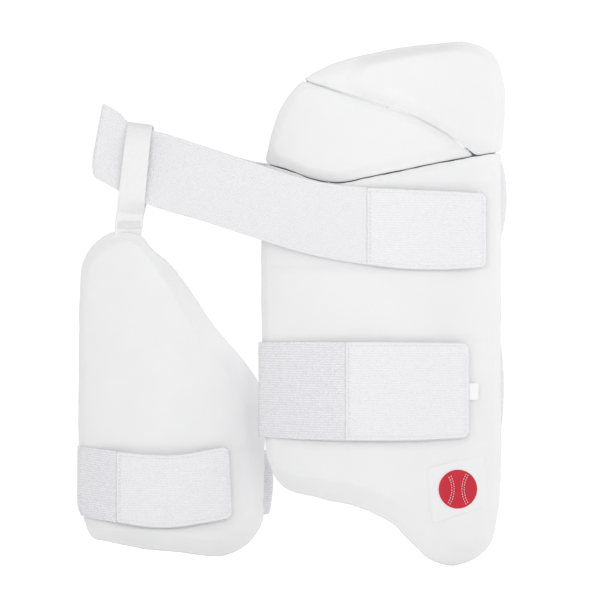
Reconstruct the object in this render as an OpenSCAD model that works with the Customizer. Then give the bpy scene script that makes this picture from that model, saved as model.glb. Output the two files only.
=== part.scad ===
// Cricket thigh guard set: outer thigh pad with a jointed hip section, inner thigh pad and waist belt.
// +Z is up the leg, the pads face -Y, and the origin is in the leg space at the height of the thigh strap.

/* [Outer pad] */
// Front-to-back thickness of the outer pad
outer_thick = 24; // [22:1:26]
// Radius of the outer pad's front face round the leg
outer_radius = 130; // [128:1:134]
// Distance from the origin forward to the middle of the outer pad's face
outer_reach = 55; // [54:0.5:56]
// Width of the open groove between two hinged panels
groove = 2.4; // [2:0.2:3]
// Height of the raised facet on the upper hip panel
facet_rise = 3; // [1:0.5:4]

/* [Inner pad] */
// Front-to-back thickness of the inner pad
inner_thick = 20; // [18:1:21]
// Radius of the inner pad's front face round the leg
inner_radius = 95; // [94:1:97]

/* [Layers] */
// Thickness of the cover fabric with its moulded skin
cover_t = 1.5; // [1:0.1:2]
// Thickness of the towelling liner
liner_t = 1.5; // [1:0.1:2]
// Depth of the front impact foam, measured from the pad's face
front_foam = 9; // [7:0.5:11]
// Thickness of the moulded shield plate
shield_t = 2; // [1.5:0.5:3]
// Distance of the outer shield plate's edge inside the pad's edge
shield_inset = 12; // [10:1:14]
// Width of the binding tape round the liner
binding_w = 4; // [3:0.5:6]

/* [Straps] */
// Thickness of the elastic straps
strap_t = 1.6; // [1.2:0.1:1.8]
// Thickness of the strap tabs
tab_t = 1.8; // [1.4:0.1:2]
// Thickness of the hook pads
hook_t = 1.2; // [1:0.1:1.4]
// Thickness of the loop patches
loop_t = 1.2; // [1:0.1:1.4]
// Height of the thigh strap
thigh_strap_h = 76; // [70:1:78]
// Height of the inner pad's strap
inner_strap_h = 57; // [52:1:60]
// Height of the waist belt's tab
waist_tab_h = 62; // [58:1:64]
// Width of the carrier webbing
webbing_w = 20; // [18:1:22]
// Thickness of the carrier webbing
webbing_t = 1.4; // [1:0.1:1.6]

/* [Hidden] */

$fn = 120;
curve_steps = 3;     // straight pieces between two control points of an outline
arc_step = 3;        // degrees between the rings of a strap on a pad
deep = 400;          // depth of the prisms that trim the pads
low = -160;          // below every pad
tall = 460;          // height of the cylinders that shape the pads
high = 300;          // above every pad
wide = 130;          // beyond both sides of the outer pad
skin = 0.2;          // clearance between a strap and what it lies on
peel_gap = 0.4;      // clearance between a hook pad and its loop patch

outer_cy = outer_radius - outer_reach;
inner_cx = -162;
inner_cy = inner_radius - 5;

// Outline of the whole outer pad with its hip section, from the right edge upwards
outer_outline = [
  [91, -61], [91, 20], [92.5, 110], [92.5, 185], [94.5, 215], [92.5, 244], [84, 262], [69, 269.6],
  [43, 269], [-8, 262], [-40, 253.5], [-61, 241], [-76, 221], [-85, 196], [-91, 163], [-93, 110],
  [-92.4, 40], [-90.5, -28], [-87, -55], [-76, -72.4], [-50, -80.5], [-18, -87.5], [8, -99],
  [26, -116], [40, -128], [55, -131.7], [70, -127.5], [82, -117], [88.5, -92]
];
// Seam between the main pad and the hip section, and the diagonal seam across the hip section
long_seam = [[-115, 186], [-89.5, 177], [-72, 171.7], [-53, 164.7], [-37.5, 161.7], [-8, 166.6],
             [43, 177], [69, 182], [115, 189.5]];
crest_seam = [[-85, 250], [-61, 241], [-21, 227.5], [2, 220.5], [24, 212.7], [50, 199], [68.4, 185.8],
              [85, 168]];
// Outline of the raised facet on the upper hip panel
facet_outline = [[-15, 244], [12, 232], [38.5, 220], [54, 212], [69, 198], [85, 200], [87, 222],
                 [84, 243], [76, 256], [64, 262], [42, 261], [12, 256]];
// Outline of the inner pad, from the left of its neck downwards
inner_outline = [
  [-209, 123], [-217, 117.5], [-226, 109], [-232.5, 99], [-234.5, 83], [-235.5, 20], [-235.5, -40],
  [-234, -80], [-230, -102], [-224, -113], [-212, -116], [-192, -120.5], [-159, -124.5], [-114, -126],
  [-100, -119], [-91.5, -104], [-89, -85], [-88.5, -45], [-89, -10], [-94, 5], [-104, 21], [-130, 52],
  [-153, 86], [-165, 101], [-177, 112], [-187, 123], [-198, 124]
];

// Outline of the inner pad's shield plate
inner_shield_outline = [
  [-220, 88], [-222, 20], [-222, -40], [-219, -90], [-204, -103], [-160, -111], [-118, -112],
  [-104, -95], [-102, -45], [-104, -2], [-117, 22], [-141, 55], [-162, 84], [-178, 99], [-202, 104]
];

// Lower and upper edge of the waist belt against X, on its front run and on its back run
belt_low = [[-222, 168], [-203, 156.5], [-180, 145.5], [-142, 134], [-98, 119.5], [-59, 107.5],
            [-36, 101.5], [-10, 97]];
belt_high = [[-212, 222], [-202, 215], [-199, 211], [-196.5, 206], [-193, 204], [-177, 202.5],
             [-142, 192], [-98, 177.5], [-59, 164.5], [-36, 159.5], [-10, 156.5]];
belt_back_low = [[-222, 168], [-203, 156.5], [-180, 145.5], [-142, 134], [-98, 121], [100, 123]];
belt_back_high = [[-212, 222], [-202, 215], [-199, 211], [-196.5, 206], [-193, 204], [-177, 202.5],
                  [-142, 192], [-98, 179], [100, 182]];
fold = [-214.4, 14]; // middle of the belt's left fold, seen from above
fold_r = 3;
fold_lean = 5;       // how far the top of the fold stands to the right of its middle

// Seams and ends of the three tabs along X
waist_tab_x = [-10.5, 81];
thigh_tab_x = [-27, 67.5];
inner_tab_x = [-204, -117];
seam_gap = 0.5;
waist_tab_z = 126.5;
thigh_strap_z = 1.5;
inner_strap_z = -74;

// Carrier webbing: height of its top, of the pivot in its lower end and of the inner pad's neck
loop_top_z = 206.3;
swing_z = 133;
neck_z = 123;
tail_clear = 2.6;    // height of the tail's lower end over the middle of the neck
loop_y = 11;
neck_x = -196.5;
webbing_lean = 0.111;
back_ply_shift = 4;  // how far the back ply stands to the right of the front ply

badge_corners = [[38.5, -101], [81.6, -87], [78, -48.5], [34.6, -57]];
badge_t = 1.2;
motif_t = 0.8;
motif_at = [58.5, -74];
motif_r = 15;
motif_seam_r = 21;
motif_seam_at = 25;
motif_seam_w = 1.2;
label_x = [63, 75];
label_z = -1;
label_h = 16;
label_t = 0.6;

// ---- Plane curves ----

function unit(v) = v / norm(v);
function right_of(v) = [v[1], -v[0]];

// Direction of a curve at b between its neighbours a and c, led by the nearer neighbour
function heading(a, b, c) = unit(unit(b - a) * norm(c - b) + unit(c - b) * norm(b - a));

function hermite(p, q, u, v, s) =
  (2*s*s*s - 3*s*s + 1)*p + (s*s*s - 2*s*s + s)*u + (3*s*s - 2*s*s*s)*q + (s*s*s - s*s)*v;

// Smooth closed curve through the points
function closed_curve(p) = let(n = len(p)) [
  for (i = [0:n - 1])
    let(a = p[(i + n - 1) % n], b = p[i], c = p[(i + 1) % n], d = p[(i + 2) % n], span = norm(c - b))
      for (k = [0:curve_steps - 1])
        hermite(b, c, heading(a, b, c)*span, heading(b, c, d)*span, k/curve_steps)
];

// Smooth open curve through the points
function open_curve(p, steps) = let(n = len(p)) [
  for (i = [0:n - 2])
    let(b = p[i], c = p[i + 1], span = norm(c - b),
        u = i == 0 ? unit(c - b) : heading(p[i - 1], b, c),
        v = i == n - 2 ? unit(c - b) : heading(b, c, p[i + 2]))
      for (k = [0:i == n - 2 ? steps : steps - 1]) hermite(b, c, u*span, v*span, k/steps)
];

// Closed curve moved inwards by d; the curve runs anticlockwise
function inset(p, d) = let(n = len(p)) [
  for (i = [0:n - 1]) p[i] - d*right_of(heading(p[(i + n - 1) % n], p[i], p[(i + 1) % n]))
];

// Open curve moved to its left by d
function shifted(p, d) = let(n = len(p)) [
  for (i = [0:n - 1]) p[i] - d*right_of(unit(p[min(i + 1, n - 1)] - p[max(i - 1, 0)]))
];

function arc(centre, r, from, to) = let(n = max(2, ceil(abs(to - from)/arc_step))) [
  for (i = [0:n]) centre + r*[cos(from + (to - from)*i/n), sin(from + (to - from)*i/n)]
];

outer_curve = closed_curve(outer_outline);
inner_curve = closed_curve(inner_outline);
long_curve = open_curve(long_seam, curve_steps);
crest_curve = open_curve(crest_seam, curve_steps);

// ---- Pads ----

// Prism through the pad with the given outline in X and Z
module prism(outline) {
  rotate([90, 0, 0]) linear_extrude(deep, center = true) polygon(outline);
}

// Curved layer between the depths y0 and y1 behind a pad's front face
module layer(cx, cy, r, y0, y1) {
  difference() {
    translate([cx, cy + y0, low]) cylinder(r = r, h = tall);
    translate([cx, cy + y1, low - 1]) cylinder(r = r, h = tall + 2);
  }
}

module outer_layer(y0, y1) {
  layer(0, outer_cy, outer_radius, y0, y1);
}

// Everything below and above a seam, clear of it by half a groove and d
module below(seam, d) {
  prism(concat(shifted(seam, -groove/2 - d), [[wide, low], [-wide, low]]));
}

module above(seam, d) {
  prism(concat(shifted(seam, groove/2 + d), [[wide, high], [-wide, high]]));
}

// Blocks of the three outer panels, d inside their edges, between two depths
module main_block(d, y0, y1) {
  intersection() {
    outer_layer(y0, y1);
    prism(inset(outer_curve, d));
    below(long_curve, d);
  }
}

module hip_lower_block(d, y0, y1) {
  intersection() {
    outer_layer(y0, y1);
    prism(inset(outer_curve, d));
    above(long_curve, d);
    below(crest_curve, d);
  }
}

module hip_upper_block(d, y0, y1) {
  intersection() {
    outer_layer(y0, y1);
    prism(inset(outer_curve, d));
    above(long_curve, d);
    above(crest_curve, d);
  }
}

module inner_block(d, y0, y1) {
  intersection() {
    layer(inner_cx, inner_cy, inner_radius, y0, y1);
    prism(inset(inner_curve, d));
  }
}

module outer_front_cover() {
  color([0.94, 0.94, 0.95]) difference() {
    main_block(0, 0, outer_thick - liner_t);
    main_block(cover_t, cover_t, outer_thick);
  }
}

module outer_foam_core() {
  color([0.88, 0.86, 0.80]) main_block(cover_t, cover_t, front_foam);
}

module outer_shield_plate() {
  color([0.30, 0.31, 0.33]) main_block(shield_inset, front_foam, front_foam + shield_t);
}

module outer_comfort_foam() {
  color([0.92, 0.90, 0.84]) difference() {
    main_block(cover_t, front_foam, outer_thick - liner_t);
    main_block(shield_inset, front_foam - 1, front_foam + shield_t);
  }
}

module outer_liner() {
  color([0.93, 0.93, 0.94]) main_block(binding_w, outer_thick - liner_t, outer_thick);
}

module outer_edge_binding() {
  color([0.92, 0.92, 0.94]) difference() {
    main_block(0, outer_thick - liner_t, outer_thick);
    main_block(binding_w, outer_thick - liner_t - 1, outer_thick + 1);
  }
}

module hip_lower_cover() {
  color([0.94, 0.94, 0.95]) difference() {
    hip_lower_block(0, 0, outer_thick - liner_t);
    hip_lower_block(cover_t, cover_t, outer_thick);
  }
}

module hip_lower_foam() {
  color([0.88, 0.86, 0.80]) hip_lower_block(cover_t, cover_t, outer_thick - liner_t);
}

module hip_lower_liner() {
  color([0.93, 0.93, 0.94]) hip_lower_block(0, outer_thick - liner_t, outer_thick);
}

module hip_upper_cover() {
  color([0.94, 0.94, 0.95]) {
    difference() {
      hip_upper_block(0, 0, outer_thick - liner_t);
      hip_upper_block(cover_t, cover_t, outer_thick);
    }
    intersection() {
      outer_layer(-facet_rise, cover_t/2);
      prism(facet_outline);
    }
  }
}

module hip_upper_foam() {
  color([0.88, 0.86, 0.80]) hip_upper_block(cover_t, cover_t, outer_thick - liner_t);
}

module hip_upper_liner() {
  color([0.93, 0.93, 0.94]) hip_upper_block(0, outer_thick - liner_t, outer_thick);
}

// Thin web of fabric in the middle of a groove
web_t = 1;
web_edge = 4;

module web(seam) {
  intersection() {
    outer_layer(web_edge, outer_thick - web_edge);
    prism(inset(outer_curve, web_edge));
    prism(concat(shifted(seam, web_t/2), [for (i = [len(seam) - 1:-1:0]) shifted(seam, -web_t/2)[i]]));
  }
}

module hip_gusset() {
  color([0.90, 0.90, 0.92]) web(long_curve);
}

module crest_gusset() {
  color([0.90, 0.90, 0.92]) intersection() {
    web(crest_curve);
    above(long_curve, 0);
  }
}

module badge_patch() {
  color([0.95, 0.95, 0.95]) intersection() {
    outer_layer(-badge_t, 0);
    prism(badge_corners);
  }
}

// A ball with its raised seam, cut as three flat pieces
module badge_motif() {
  color([0.72, 0.08, 0.12]) intersection() {
    outer_layer(-badge_t - motif_t, -badge_t);
    translate([motif_at[0], 0, motif_at[1]]) rotate([90, 0, 0]) difference() {
      cylinder(r = motif_r, h = deep, center = true);
      for (side = [-1, 1]) translate([side*motif_seam_at, 0, 0]) difference() {
        cylinder(r = motif_seam_r, h = deep + 2, center = true);
        cylinder(r = motif_seam_r - motif_seam_w, h = deep + 4, center = true);
      }
    }
  }
}

module inner_front_cover() {
  color([0.94, 0.94, 0.95]) difference() {
    inner_block(0, 0, inner_thick - liner_t);
    inner_block(cover_t, cover_t, inner_thick);
  }
}

inner_front_foam = front_foam - 2;

module inner_foam_core() {
  color([0.88, 0.86, 0.80]) inner_block(cover_t, cover_t, inner_front_foam);
}

module inner_shield(from) {
  intersection() {
    layer(inner_cx, inner_cy, inner_radius, from, inner_front_foam + shield_t);
    prism(closed_curve(inner_shield_outline));
  }
}

module inner_shield_plate() {
  color([0.30, 0.31, 0.33]) inner_shield(inner_front_foam);
}

module inner_comfort_foam() {
  color([0.92, 0.90, 0.84]) difference() {
    inner_block(cover_t, inner_front_foam, inner_thick - liner_t);
    inner_shield(inner_front_foam - 1);
  }
}

module inner_liner() {
  color([0.93, 0.93, 0.94]) inner_block(binding_w, inner_thick - liner_t, inner_thick);
}

module inner_edge_binding() {
  color([0.92, 0.92, 0.94]) difference() {
    inner_block(0, inner_thick - liner_t, inner_thick);
    inner_block(binding_w, inner_thick - liner_t - 1, inner_thick + 1);
  }
}

// ---- Straps ----

// Flat band: middles c, half-width vectors h and outward unit normals n at each ring, thickness t
module band(c, h, n, t) {
  rings = len(c);
  points = [for (i = [0:rings - 1])
    each [c[i] - h[i], c[i] - h[i] + t*n[i], c[i] + h[i] + t*n[i], c[i] + h[i]]];
  sides = [for (i = [0:rings - 2]) for (k = [0:3])
    let(a = 4*i + k, b = 4*i + (k + 1) % 4) each [[a, b, b + 4], [a, b + 4, a + 4]]];
  ends = [[3, 2, 1], [3, 1, 0], [for (k = [0:2]) 4*(rings - 1) + k],
          [4*(rings - 1), 4*(rings - 1) + 2, 4*(rings - 1) + 3]];
  polyhedron(points, concat(sides, ends));
}

// Strap round the leg: path of its inner face seen from above, anticlockwise, with the heights of its
// two edges at each ring and the lean of its top towards +X
module strap(path, lows, highs, t, leans) {
  n = len(path);
  out = [for (i = [0:n - 1]) right_of(unit(path[min(i + 1, n - 1)] - path[max(i - 1, 0)]))];
  band([for (i = [0:n - 1]) [path[i][0], path[i][1], (lows[i] + highs[i])/2]],
       [for (i = [0:n - 1]) [leans[i], 0, (highs[i] - lows[i])/2]],
       [for (v = out) [v[0], v[1], 0]], t);
}

module level_strap(path, z, height, t) {
  strap(path, [for (p = path) z - height/2], [for (p = path) z + height/2], t, [for (p = path) 0]);
}

// Angle from straight ahead at which a cylinder of radius r about cx reaches x
function side_angle(x, cx, r) = asin((x - cx)/r);

// Arc over a pad's front from x0 to x1, clear of its face by off at x0 and off1 at x1
function front_arc(cx, cy, r, x0, x1, off, off1) =
  let(a0 = side_angle(x0, cx, r + off), a1 = side_angle(x1, cx, r + off1),
      n = max(2, ceil(abs(a1 - a0)/arc_step)))
    [for (i = [0:n]) let(s = i/n, a = a0 + (a1 - a0)*s, d = off + (off1 - off)*(3*s*s - 2*s*s*s))
      [cx + (r + d)*sin(a), cy - (r + d)*cos(a)]];

// Arc on a pad's hollow back from x0 to x1, clear of it by off
function back_arc(cx, cy, r, x0, x1, off) =
  let(a0 = side_angle(x0, cx, r - off), a1 = side_angle(x1, cx, r - off),
      n = max(2, ceil((a1 - a0)/arc_step)))
    [for (i = [0:n]) let(a = a0 + (a1 - a0)*i/n) [cx + (r - off)*sin(a), cy - (r - off)*cos(a)]];

outer_back_cy = outer_cy + outer_thick;
inner_back_cy = inner_cy + inner_thick;
tab_off = skin + loop_t + peel_gap + hook_t + skin/2;
anchor_t = 1.2;
anchor_off = skin/2 + anchor_t;
strap_end_off = anchor_off + skin/2 + strap_t;

function outer_front(x0, x1, off, off1) = front_arc(0, outer_cy, outer_radius, x0, x1, off, off1);
function inner_front(x0, x1, off, off1) =
  front_arc(inner_cx, inner_cy, inner_radius, x0, x1, off, off1);

// Waist belt: from its sewn end behind the right edge, across the back to the fold, and over the front
fold_d = [0, outer_cy] - fold;
belt_r = outer_radius + tab_off;
belt_turn = atan2(fold_d[1], fold_d[0]) - acos((fold_r - belt_r)/norm(fold_d));
belt_across = [cos(belt_turn), sin(belt_turn)];
belt_along = -right_of(belt_across);
belt_back = concat(
  back_arc(0, outer_back_cy, outer_radius, 70, 86.5, strap_end_off),
  open_curve([[91.4, 10.8], [95.4, 17], [94.8, 23.5], [88, 29], [74, 31.5], [20, 34], [-60, 30],
              [-150, 20.5], [-190, 17.5], fold + [4, fold_r]], 4),
  arc(fold, fold_r, 90, 180));
belt_front = concat(
  arc(fold, fold_r, 190, belt_turn + 360),
  open_curve([fold + fold_r*belt_across + 6*belt_along, [0, outer_cy] + belt_r*belt_across], 12),
  outer_front(belt_r*cos(belt_turn) + 3, waist_tab_x[0] - seam_gap, tab_off, tab_off));
belt_path = concat(belt_back, belt_front);

// Lean of the belt at x, from nothing at lean_from to the whole lean at the fold
lean_from = -165;
lean_run = 45;

function belt_lean(x) = fold_lean*min(1, max(0, (lean_from - x)/lean_run));
// Height of the belt's lower (side -1) or upper (side 1) edge at point i of its path
function belt_edge(i, side, back, front) =
  let(x = belt_path[i][0]) lookup(x + side*belt_lean(x), i < len(belt_back) ? back : front);

module waist_belt() {
  all = [0:len(belt_path) - 1];
  color([0.92, 0.92, 0.95]) strap(belt_path,
    [for (i = all) belt_edge(i, -1, belt_back_low, belt_low)],
    [for (i = all) belt_edge(i, 1, belt_back_high, belt_high)],
    strap_t, [for (p = belt_path) belt_lean(p[0])]);
}

// Stitched-down wing that carries the belt's sewn end, tapering down the pad's edge
waist_anchor_x = [58, 90];
waist_anchor_z = [60, 178];

module waist_belt_anchor() {
  path = back_arc(0, outer_back_cy, outer_radius, waist_anchor_x[0], waist_anchor_x[1], anchor_off);
  color([0.92, 0.92, 0.94]) strap(path,
    [for (p = path) waist_anchor_z[0] + waist_anchor_x[1] - p[0]],
    [for (p = path) waist_anchor_z[1]],
    anchor_t, [for (p = path) 0]);
}

module waist_tab() {
  color([0.93, 0.93, 0.96])
    level_strap(outer_front(waist_tab_x[0], waist_tab_x[1], tab_off, tab_off),
                waist_tab_z, waist_tab_h, tab_t);
}

hook_border = 6;

module waist_hook_pad() {
  color([0.90, 0.90, 0.91])
    level_strap(outer_front(waist_tab_x[0] + hook_border, waist_tab_x[1] - hook_border,
                            tab_off - hook_t - skin/2, tab_off - hook_t - skin/2),
                waist_tab_z, waist_tab_h - 2*hook_border, hook_t);
}

module waist_loop_patch() {
  color([0.93, 0.93, 0.95])
    level_strap(outer_front(waist_tab_x[0] + hook_border, waist_tab_x[1] - hook_border, skin, skin),
                waist_tab_z, waist_tab_h - 2*hook_border, loop_t);
}

// Thigh strap: sewn behind the right edge, across the back, round the left edge and onto the front
thigh_path = concat(
  back_arc(0, outer_back_cy, outer_radius, 70, 85.5, strap_end_off),
  open_curve([[90.2, 9.6], [93, 15], [91, 21.5], [82, 26], [50, 30], [0, 32.5], [-50, 28], [-78, 20],
              [-89, 13], [-93.4, 5.5], [-93.9, -4], [-93.8, -14.4]], 4),
  outer_front(-91.4, thigh_tab_x[0] - seam_gap, 2*skin, tab_off));

module thigh_strap() {
  color([0.92, 0.92, 0.95]) level_strap(thigh_path, thigh_strap_z, thigh_strap_h, strap_t);
}

module thigh_strap_anchor() {
  color([0.92, 0.92, 0.94])
    level_strap(back_arc(0, outer_back_cy, outer_radius, 62, 88, anchor_off), thigh_strap_z,
                thigh_strap_h + 8, anchor_t);
}

module thigh_tab() {
  color([0.93, 0.93, 0.96])
    level_strap(outer_front(thigh_tab_x[0], thigh_tab_x[1], tab_off, tab_off),
                thigh_strap_z, thigh_strap_h, tab_t);
}

module thigh_hook_pad() {
  color([0.90, 0.90, 0.91])
    level_strap(outer_front(thigh_tab_x[0] + hook_border, thigh_tab_x[1] - hook_border,
                            tab_off - hook_t - skin/2, tab_off - hook_t - skin/2),
                thigh_strap_z, thigh_strap_h - 2*hook_border, hook_t);
}

module thigh_loop_patch() {
  color([0.93, 0.93, 0.95])
    level_strap(outer_front(thigh_tab_x[0] + hook_border, thigh_tab_x[1] - hook_border, skin, skin),
                thigh_strap_z, thigh_strap_h - 2*hook_border, loop_t);
}

module care_label() {
  color([0.96, 0.96, 0.96])
    level_strap(outer_front(label_x[0], label_x[1], tab_off - label_t - skin/2, tab_off - label_t - skin/2),
                label_z, label_h, label_t);
}

// Inner strap: the same layout round the inner pad, with a fold that stands out past its right edge
inner_path = concat(
  back_arc(inner_cx, inner_back_cy, inner_radius, -106, -96.5, strap_end_off),
  open_curve([[-91.5, 49.6], [-86.4, 54.5], [-86.2, 60], [-93, 64], [-125, 70], [-163, 73], [-200, 70],
              [-226, 62.5], [-234.5, 56.5], [-236.9, 49.5], [-237, 40], [-236.9, 32.4]], 4),
  inner_front(-233.8, inner_tab_x[0] - seam_gap, 2*skin, tab_off));

module inner_strap() {
  color([0.92, 0.92, 0.95]) level_strap(inner_path, inner_strap_z, inner_strap_h, strap_t);
}

module inner_strap_anchor() {
  color([0.92, 0.92, 0.94])
    level_strap(back_arc(inner_cx, inner_back_cy, inner_radius, -112, -96, anchor_off), inner_strap_z,
                inner_strap_h + 6, anchor_t);
}

module inner_tab() {
  color([0.93, 0.93, 0.96])
    level_strap(inner_front(inner_tab_x[0], inner_tab_x[1], tab_off, tab_off),
                inner_strap_z, inner_strap_h, tab_t);
}

module inner_hook_pad() {
  color([0.90, 0.90, 0.91])
    level_strap(inner_front(inner_tab_x[0] + hook_border, inner_tab_x[1] - hook_border,
                            tab_off - hook_t - skin/2, tab_off - hook_t - skin/2),
                inner_strap_z, inner_strap_h - 2*hook_border, hook_t);
}

module inner_loop_patch() {
  color([0.93, 0.93, 0.95])
    level_strap(inner_front(inner_tab_x[0] + hook_border, inner_tab_x[1] - hook_border, skin, skin),
                inner_strap_z, inner_strap_h - 2*hook_border, loop_t);
}

// ---- Carrier webbing ----

// Side view of the loop round both runs of the belt, from the front ply's lower end over the top
ply_gap = webbing_t/2 + 0.6;
loop_front = -3.2;
loop_back = 22.2;
loop_end_z = swing_z - 2.8;
loop_side = open_curve([[loop_y - ply_gap, loop_end_z], [loop_y - ply_gap, swing_z + 2],
                        [loop_y - ply_gap - 0.6, swing_z + 5], [3, swing_z + 9.5],
                        [loop_front, swing_z + 15], [loop_front, loop_top_z - 3],
                        [loop_front + 2.4, loop_top_z - 0.4], [loop_y, loop_top_z],
                        [loop_back - 2.4, loop_top_z - 0.4], [loop_back, loop_top_z - 3],
                        [loop_back, swing_z + 15], [18.5, swing_z + 9.5],
                        [loop_y + ply_gap + 0.6, swing_z + 5], [loop_y + ply_gap, swing_z + 2],
                        [loop_y + ply_gap, loop_end_z]], 4);

// The sewn end turns into the open loop between these heights
sewn_end = [swing_z + 4, swing_z + 16];
narrow_top = 0.86;   // width of the webbing where it turns over the belt, against its full width
front_slope = -0.32; // turn of the front ply across its width, which follows the belt's front run
back_slope = 0.06;   // turn of the back ply
top_tilt = 0.13;     // fall of the loop's top towards the right

function opened(z) = lookup(z, [[sewn_end[0], 0], [sewn_end[1], 1]]);
function to_back(y) = lookup(y, [[loop_front, 0], [loop_back, 1]]);
function webbing_x(y, z) =
  neck_x + (z - neck_z)*webbing_lean + back_ply_shift*opened(z)*to_back(y);
// Half the width of the loop at a point of its side view, pointing to the left
function loop_half(y, z) =
  webbing_w/2*lookup(z, [[sewn_end[1], 1], [loop_top_z, narrow_top]])
    *[-1, -opened(z)*(front_slope + (back_slope - front_slope)*to_back(y)), top_tilt*opened(z)];

module carrier_loop() {
  n = len(loop_side);
  out = [for (i = [0:n - 1])
    -right_of(unit(loop_side[min(i + 1, n - 1)] - loop_side[max(i - 1, 0)]))];
  color([0.94, 0.94, 0.93]) band(
    [for (p = loop_side) [webbing_x(p[0], p[1]), p[0], p[1]]],
    [for (p = loop_side) loop_half(p[0], p[1])],
    [for (v = out) [0, v[0], v[1]]], webbing_t);
}

// Tongue of the tail that the loop's two plies hold, and the run down to the neck
module carrier_tail() {
  top = [webbing_x(loop_y, swing_z), swing_z + 4];
  bottom = [webbing_x(loop_y, neck_z), neck_z + tail_clear];
  half = [webbing_w/2, 0];
  color([0.94, 0.94, 0.93])
    translate([0, loop_y + webbing_t/2, 0]) rotate([90, 0, 0]) linear_extrude(webbing_t)
      polygon([bottom - half, bottom + half, top + half, top - half]);
}

bar_tack_h = 4;
bar_tack_t = 0.8;
bar_tack_clear = 0.2;

module carrier_bar_tack() {
  color([0.90, 0.90, 0.86])
    translate([webbing_x(loop_y, loop_end_z) - webbing_w/2,
               loop_y - ply_gap - webbing_t - bar_tack_clear - bar_tack_t, loop_end_z + 0.5])
      cube([webbing_w, bar_tack_t, bar_tack_h]);
}

outer_front_cover();
outer_foam_core();
outer_shield_plate();
outer_comfort_foam();
outer_liner();
outer_edge_binding();
badge_patch();
badge_motif();
waist_loop_patch();
thigh_loop_patch();
waist_belt();
waist_belt_anchor();
thigh_strap();
thigh_strap_anchor();
hip_gusset();
hip_lower_cover();
hip_lower_foam();
hip_lower_liner();
crest_gusset();
hip_upper_cover();
hip_upper_foam();
hip_upper_liner();
waist_tab();
waist_hook_pad();
thigh_tab();
thigh_hook_pad();
care_label();
carrier_loop();
carrier_tail();
carrier_bar_tack();
inner_front_cover();
inner_foam_core();
inner_shield_plate();
inner_comfort_foam();
inner_liner();
inner_edge_binding();
inner_strap();
inner_strap_anchor();
inner_loop_patch();
inner_tab();
inner_hook_pad();
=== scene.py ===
import math

import bpy
import numpy as np
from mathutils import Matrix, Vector
from mathutils.geometry import delaunay_2d_cdt


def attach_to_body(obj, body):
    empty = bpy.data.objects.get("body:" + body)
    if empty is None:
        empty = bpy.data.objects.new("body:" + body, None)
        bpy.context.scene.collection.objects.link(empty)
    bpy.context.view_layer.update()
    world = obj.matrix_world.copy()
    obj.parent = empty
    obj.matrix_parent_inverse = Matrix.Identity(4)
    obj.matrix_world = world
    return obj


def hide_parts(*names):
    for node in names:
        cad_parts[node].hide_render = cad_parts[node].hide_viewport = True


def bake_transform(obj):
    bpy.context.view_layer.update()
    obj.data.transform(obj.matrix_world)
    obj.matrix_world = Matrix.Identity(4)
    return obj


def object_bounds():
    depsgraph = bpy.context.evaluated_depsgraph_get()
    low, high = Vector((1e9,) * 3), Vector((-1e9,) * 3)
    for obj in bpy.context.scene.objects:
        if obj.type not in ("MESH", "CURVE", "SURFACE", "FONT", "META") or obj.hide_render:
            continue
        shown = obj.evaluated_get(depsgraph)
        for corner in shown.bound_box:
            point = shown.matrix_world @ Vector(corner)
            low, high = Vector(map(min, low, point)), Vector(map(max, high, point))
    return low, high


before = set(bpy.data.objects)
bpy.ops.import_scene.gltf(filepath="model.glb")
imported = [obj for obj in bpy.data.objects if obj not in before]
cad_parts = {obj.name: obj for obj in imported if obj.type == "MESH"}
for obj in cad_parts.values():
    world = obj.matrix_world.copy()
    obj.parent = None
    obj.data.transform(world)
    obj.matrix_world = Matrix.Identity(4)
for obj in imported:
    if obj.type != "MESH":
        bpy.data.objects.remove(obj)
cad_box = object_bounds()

MM = 0.001

# ---- Camera: looks along +Y at the whole set ----

VIEW_CENTRE = (-63.1, 71.6)   # X and Z in the middle of the picture
VIEW_WIDTH = 462.0            # width of the picture at the pads' faces
FACE_PLANE = -40.0            # Y of the plane where it is that wide
LENS = 600.0
SENSOR = 36.0


def make_camera():
    data = bpy.data.cameras.new("camera")
    data.lens = LENS
    data.sensor_width = SENSOR
    data.clip_end = 50.0
    camera = bpy.data.objects.new("camera", data)
    bpy.context.scene.collection.objects.link(camera)
    away = FACE_PLANE - VIEW_WIDTH*LENS/SENSOR
    camera.location = (VIEW_CENTRE[0]*MM, away*MM, VIEW_CENTRE[1]*MM)
    camera.rotation_euler = (math.pi/2, 0, 0)
    bpy.context.scene.camera = camera


make_camera()

# ---- Shape of the object, in millimetres ----

GROOVE = 0.8                  # groove between hinged panels at their faces
DRAFT = 0.9                   # how far a pad's wall leans in from its face to its back
OUTER = dict(cx=0.0, r=130.0, reach=55.0, thick=24.0)
INNER = dict(cx=-162.0, r=95.0, reach=5.0, thick=20.0)

OUTER_OUTLINE = [
    (92, -61), (91.8, 20), (92.5, 110), (92.5, 185), (95.2, 215), (93.5, 244), (85, 262.4), (69, 269.6),
    (43, 269), (-8, 261.2), (-39.5, 252.6), (-61, 240.6), (-77, 221.5), (-86, 196), (-91.8, 163), (-93, 110),
    (-92.4, 40), (-90.5, -28), (-87, -55), (-76, -72.4), (-50, -80.5), (-18, -88), (7, -100),
    (24.6, -117.4), (39, -129.4), (55, -133), (70.5, -128.8), (83, -118), (89.8, -92)]
LONG_SEAM = [(-115, 186), (-89.5, 177), (-72, 171.7), (-53, 164.7), (-37.5, 161.7), (-8, 166.6),
             (43, 177), (69, 182), (115, 189.5)]
CREST_SEAM = [(-85, 250), (-61, 241), (-21, 227.5), (2, 220.5), (24, 212.7), (50, 199), (68.4, 185.8),
              (85, 168)]
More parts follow.
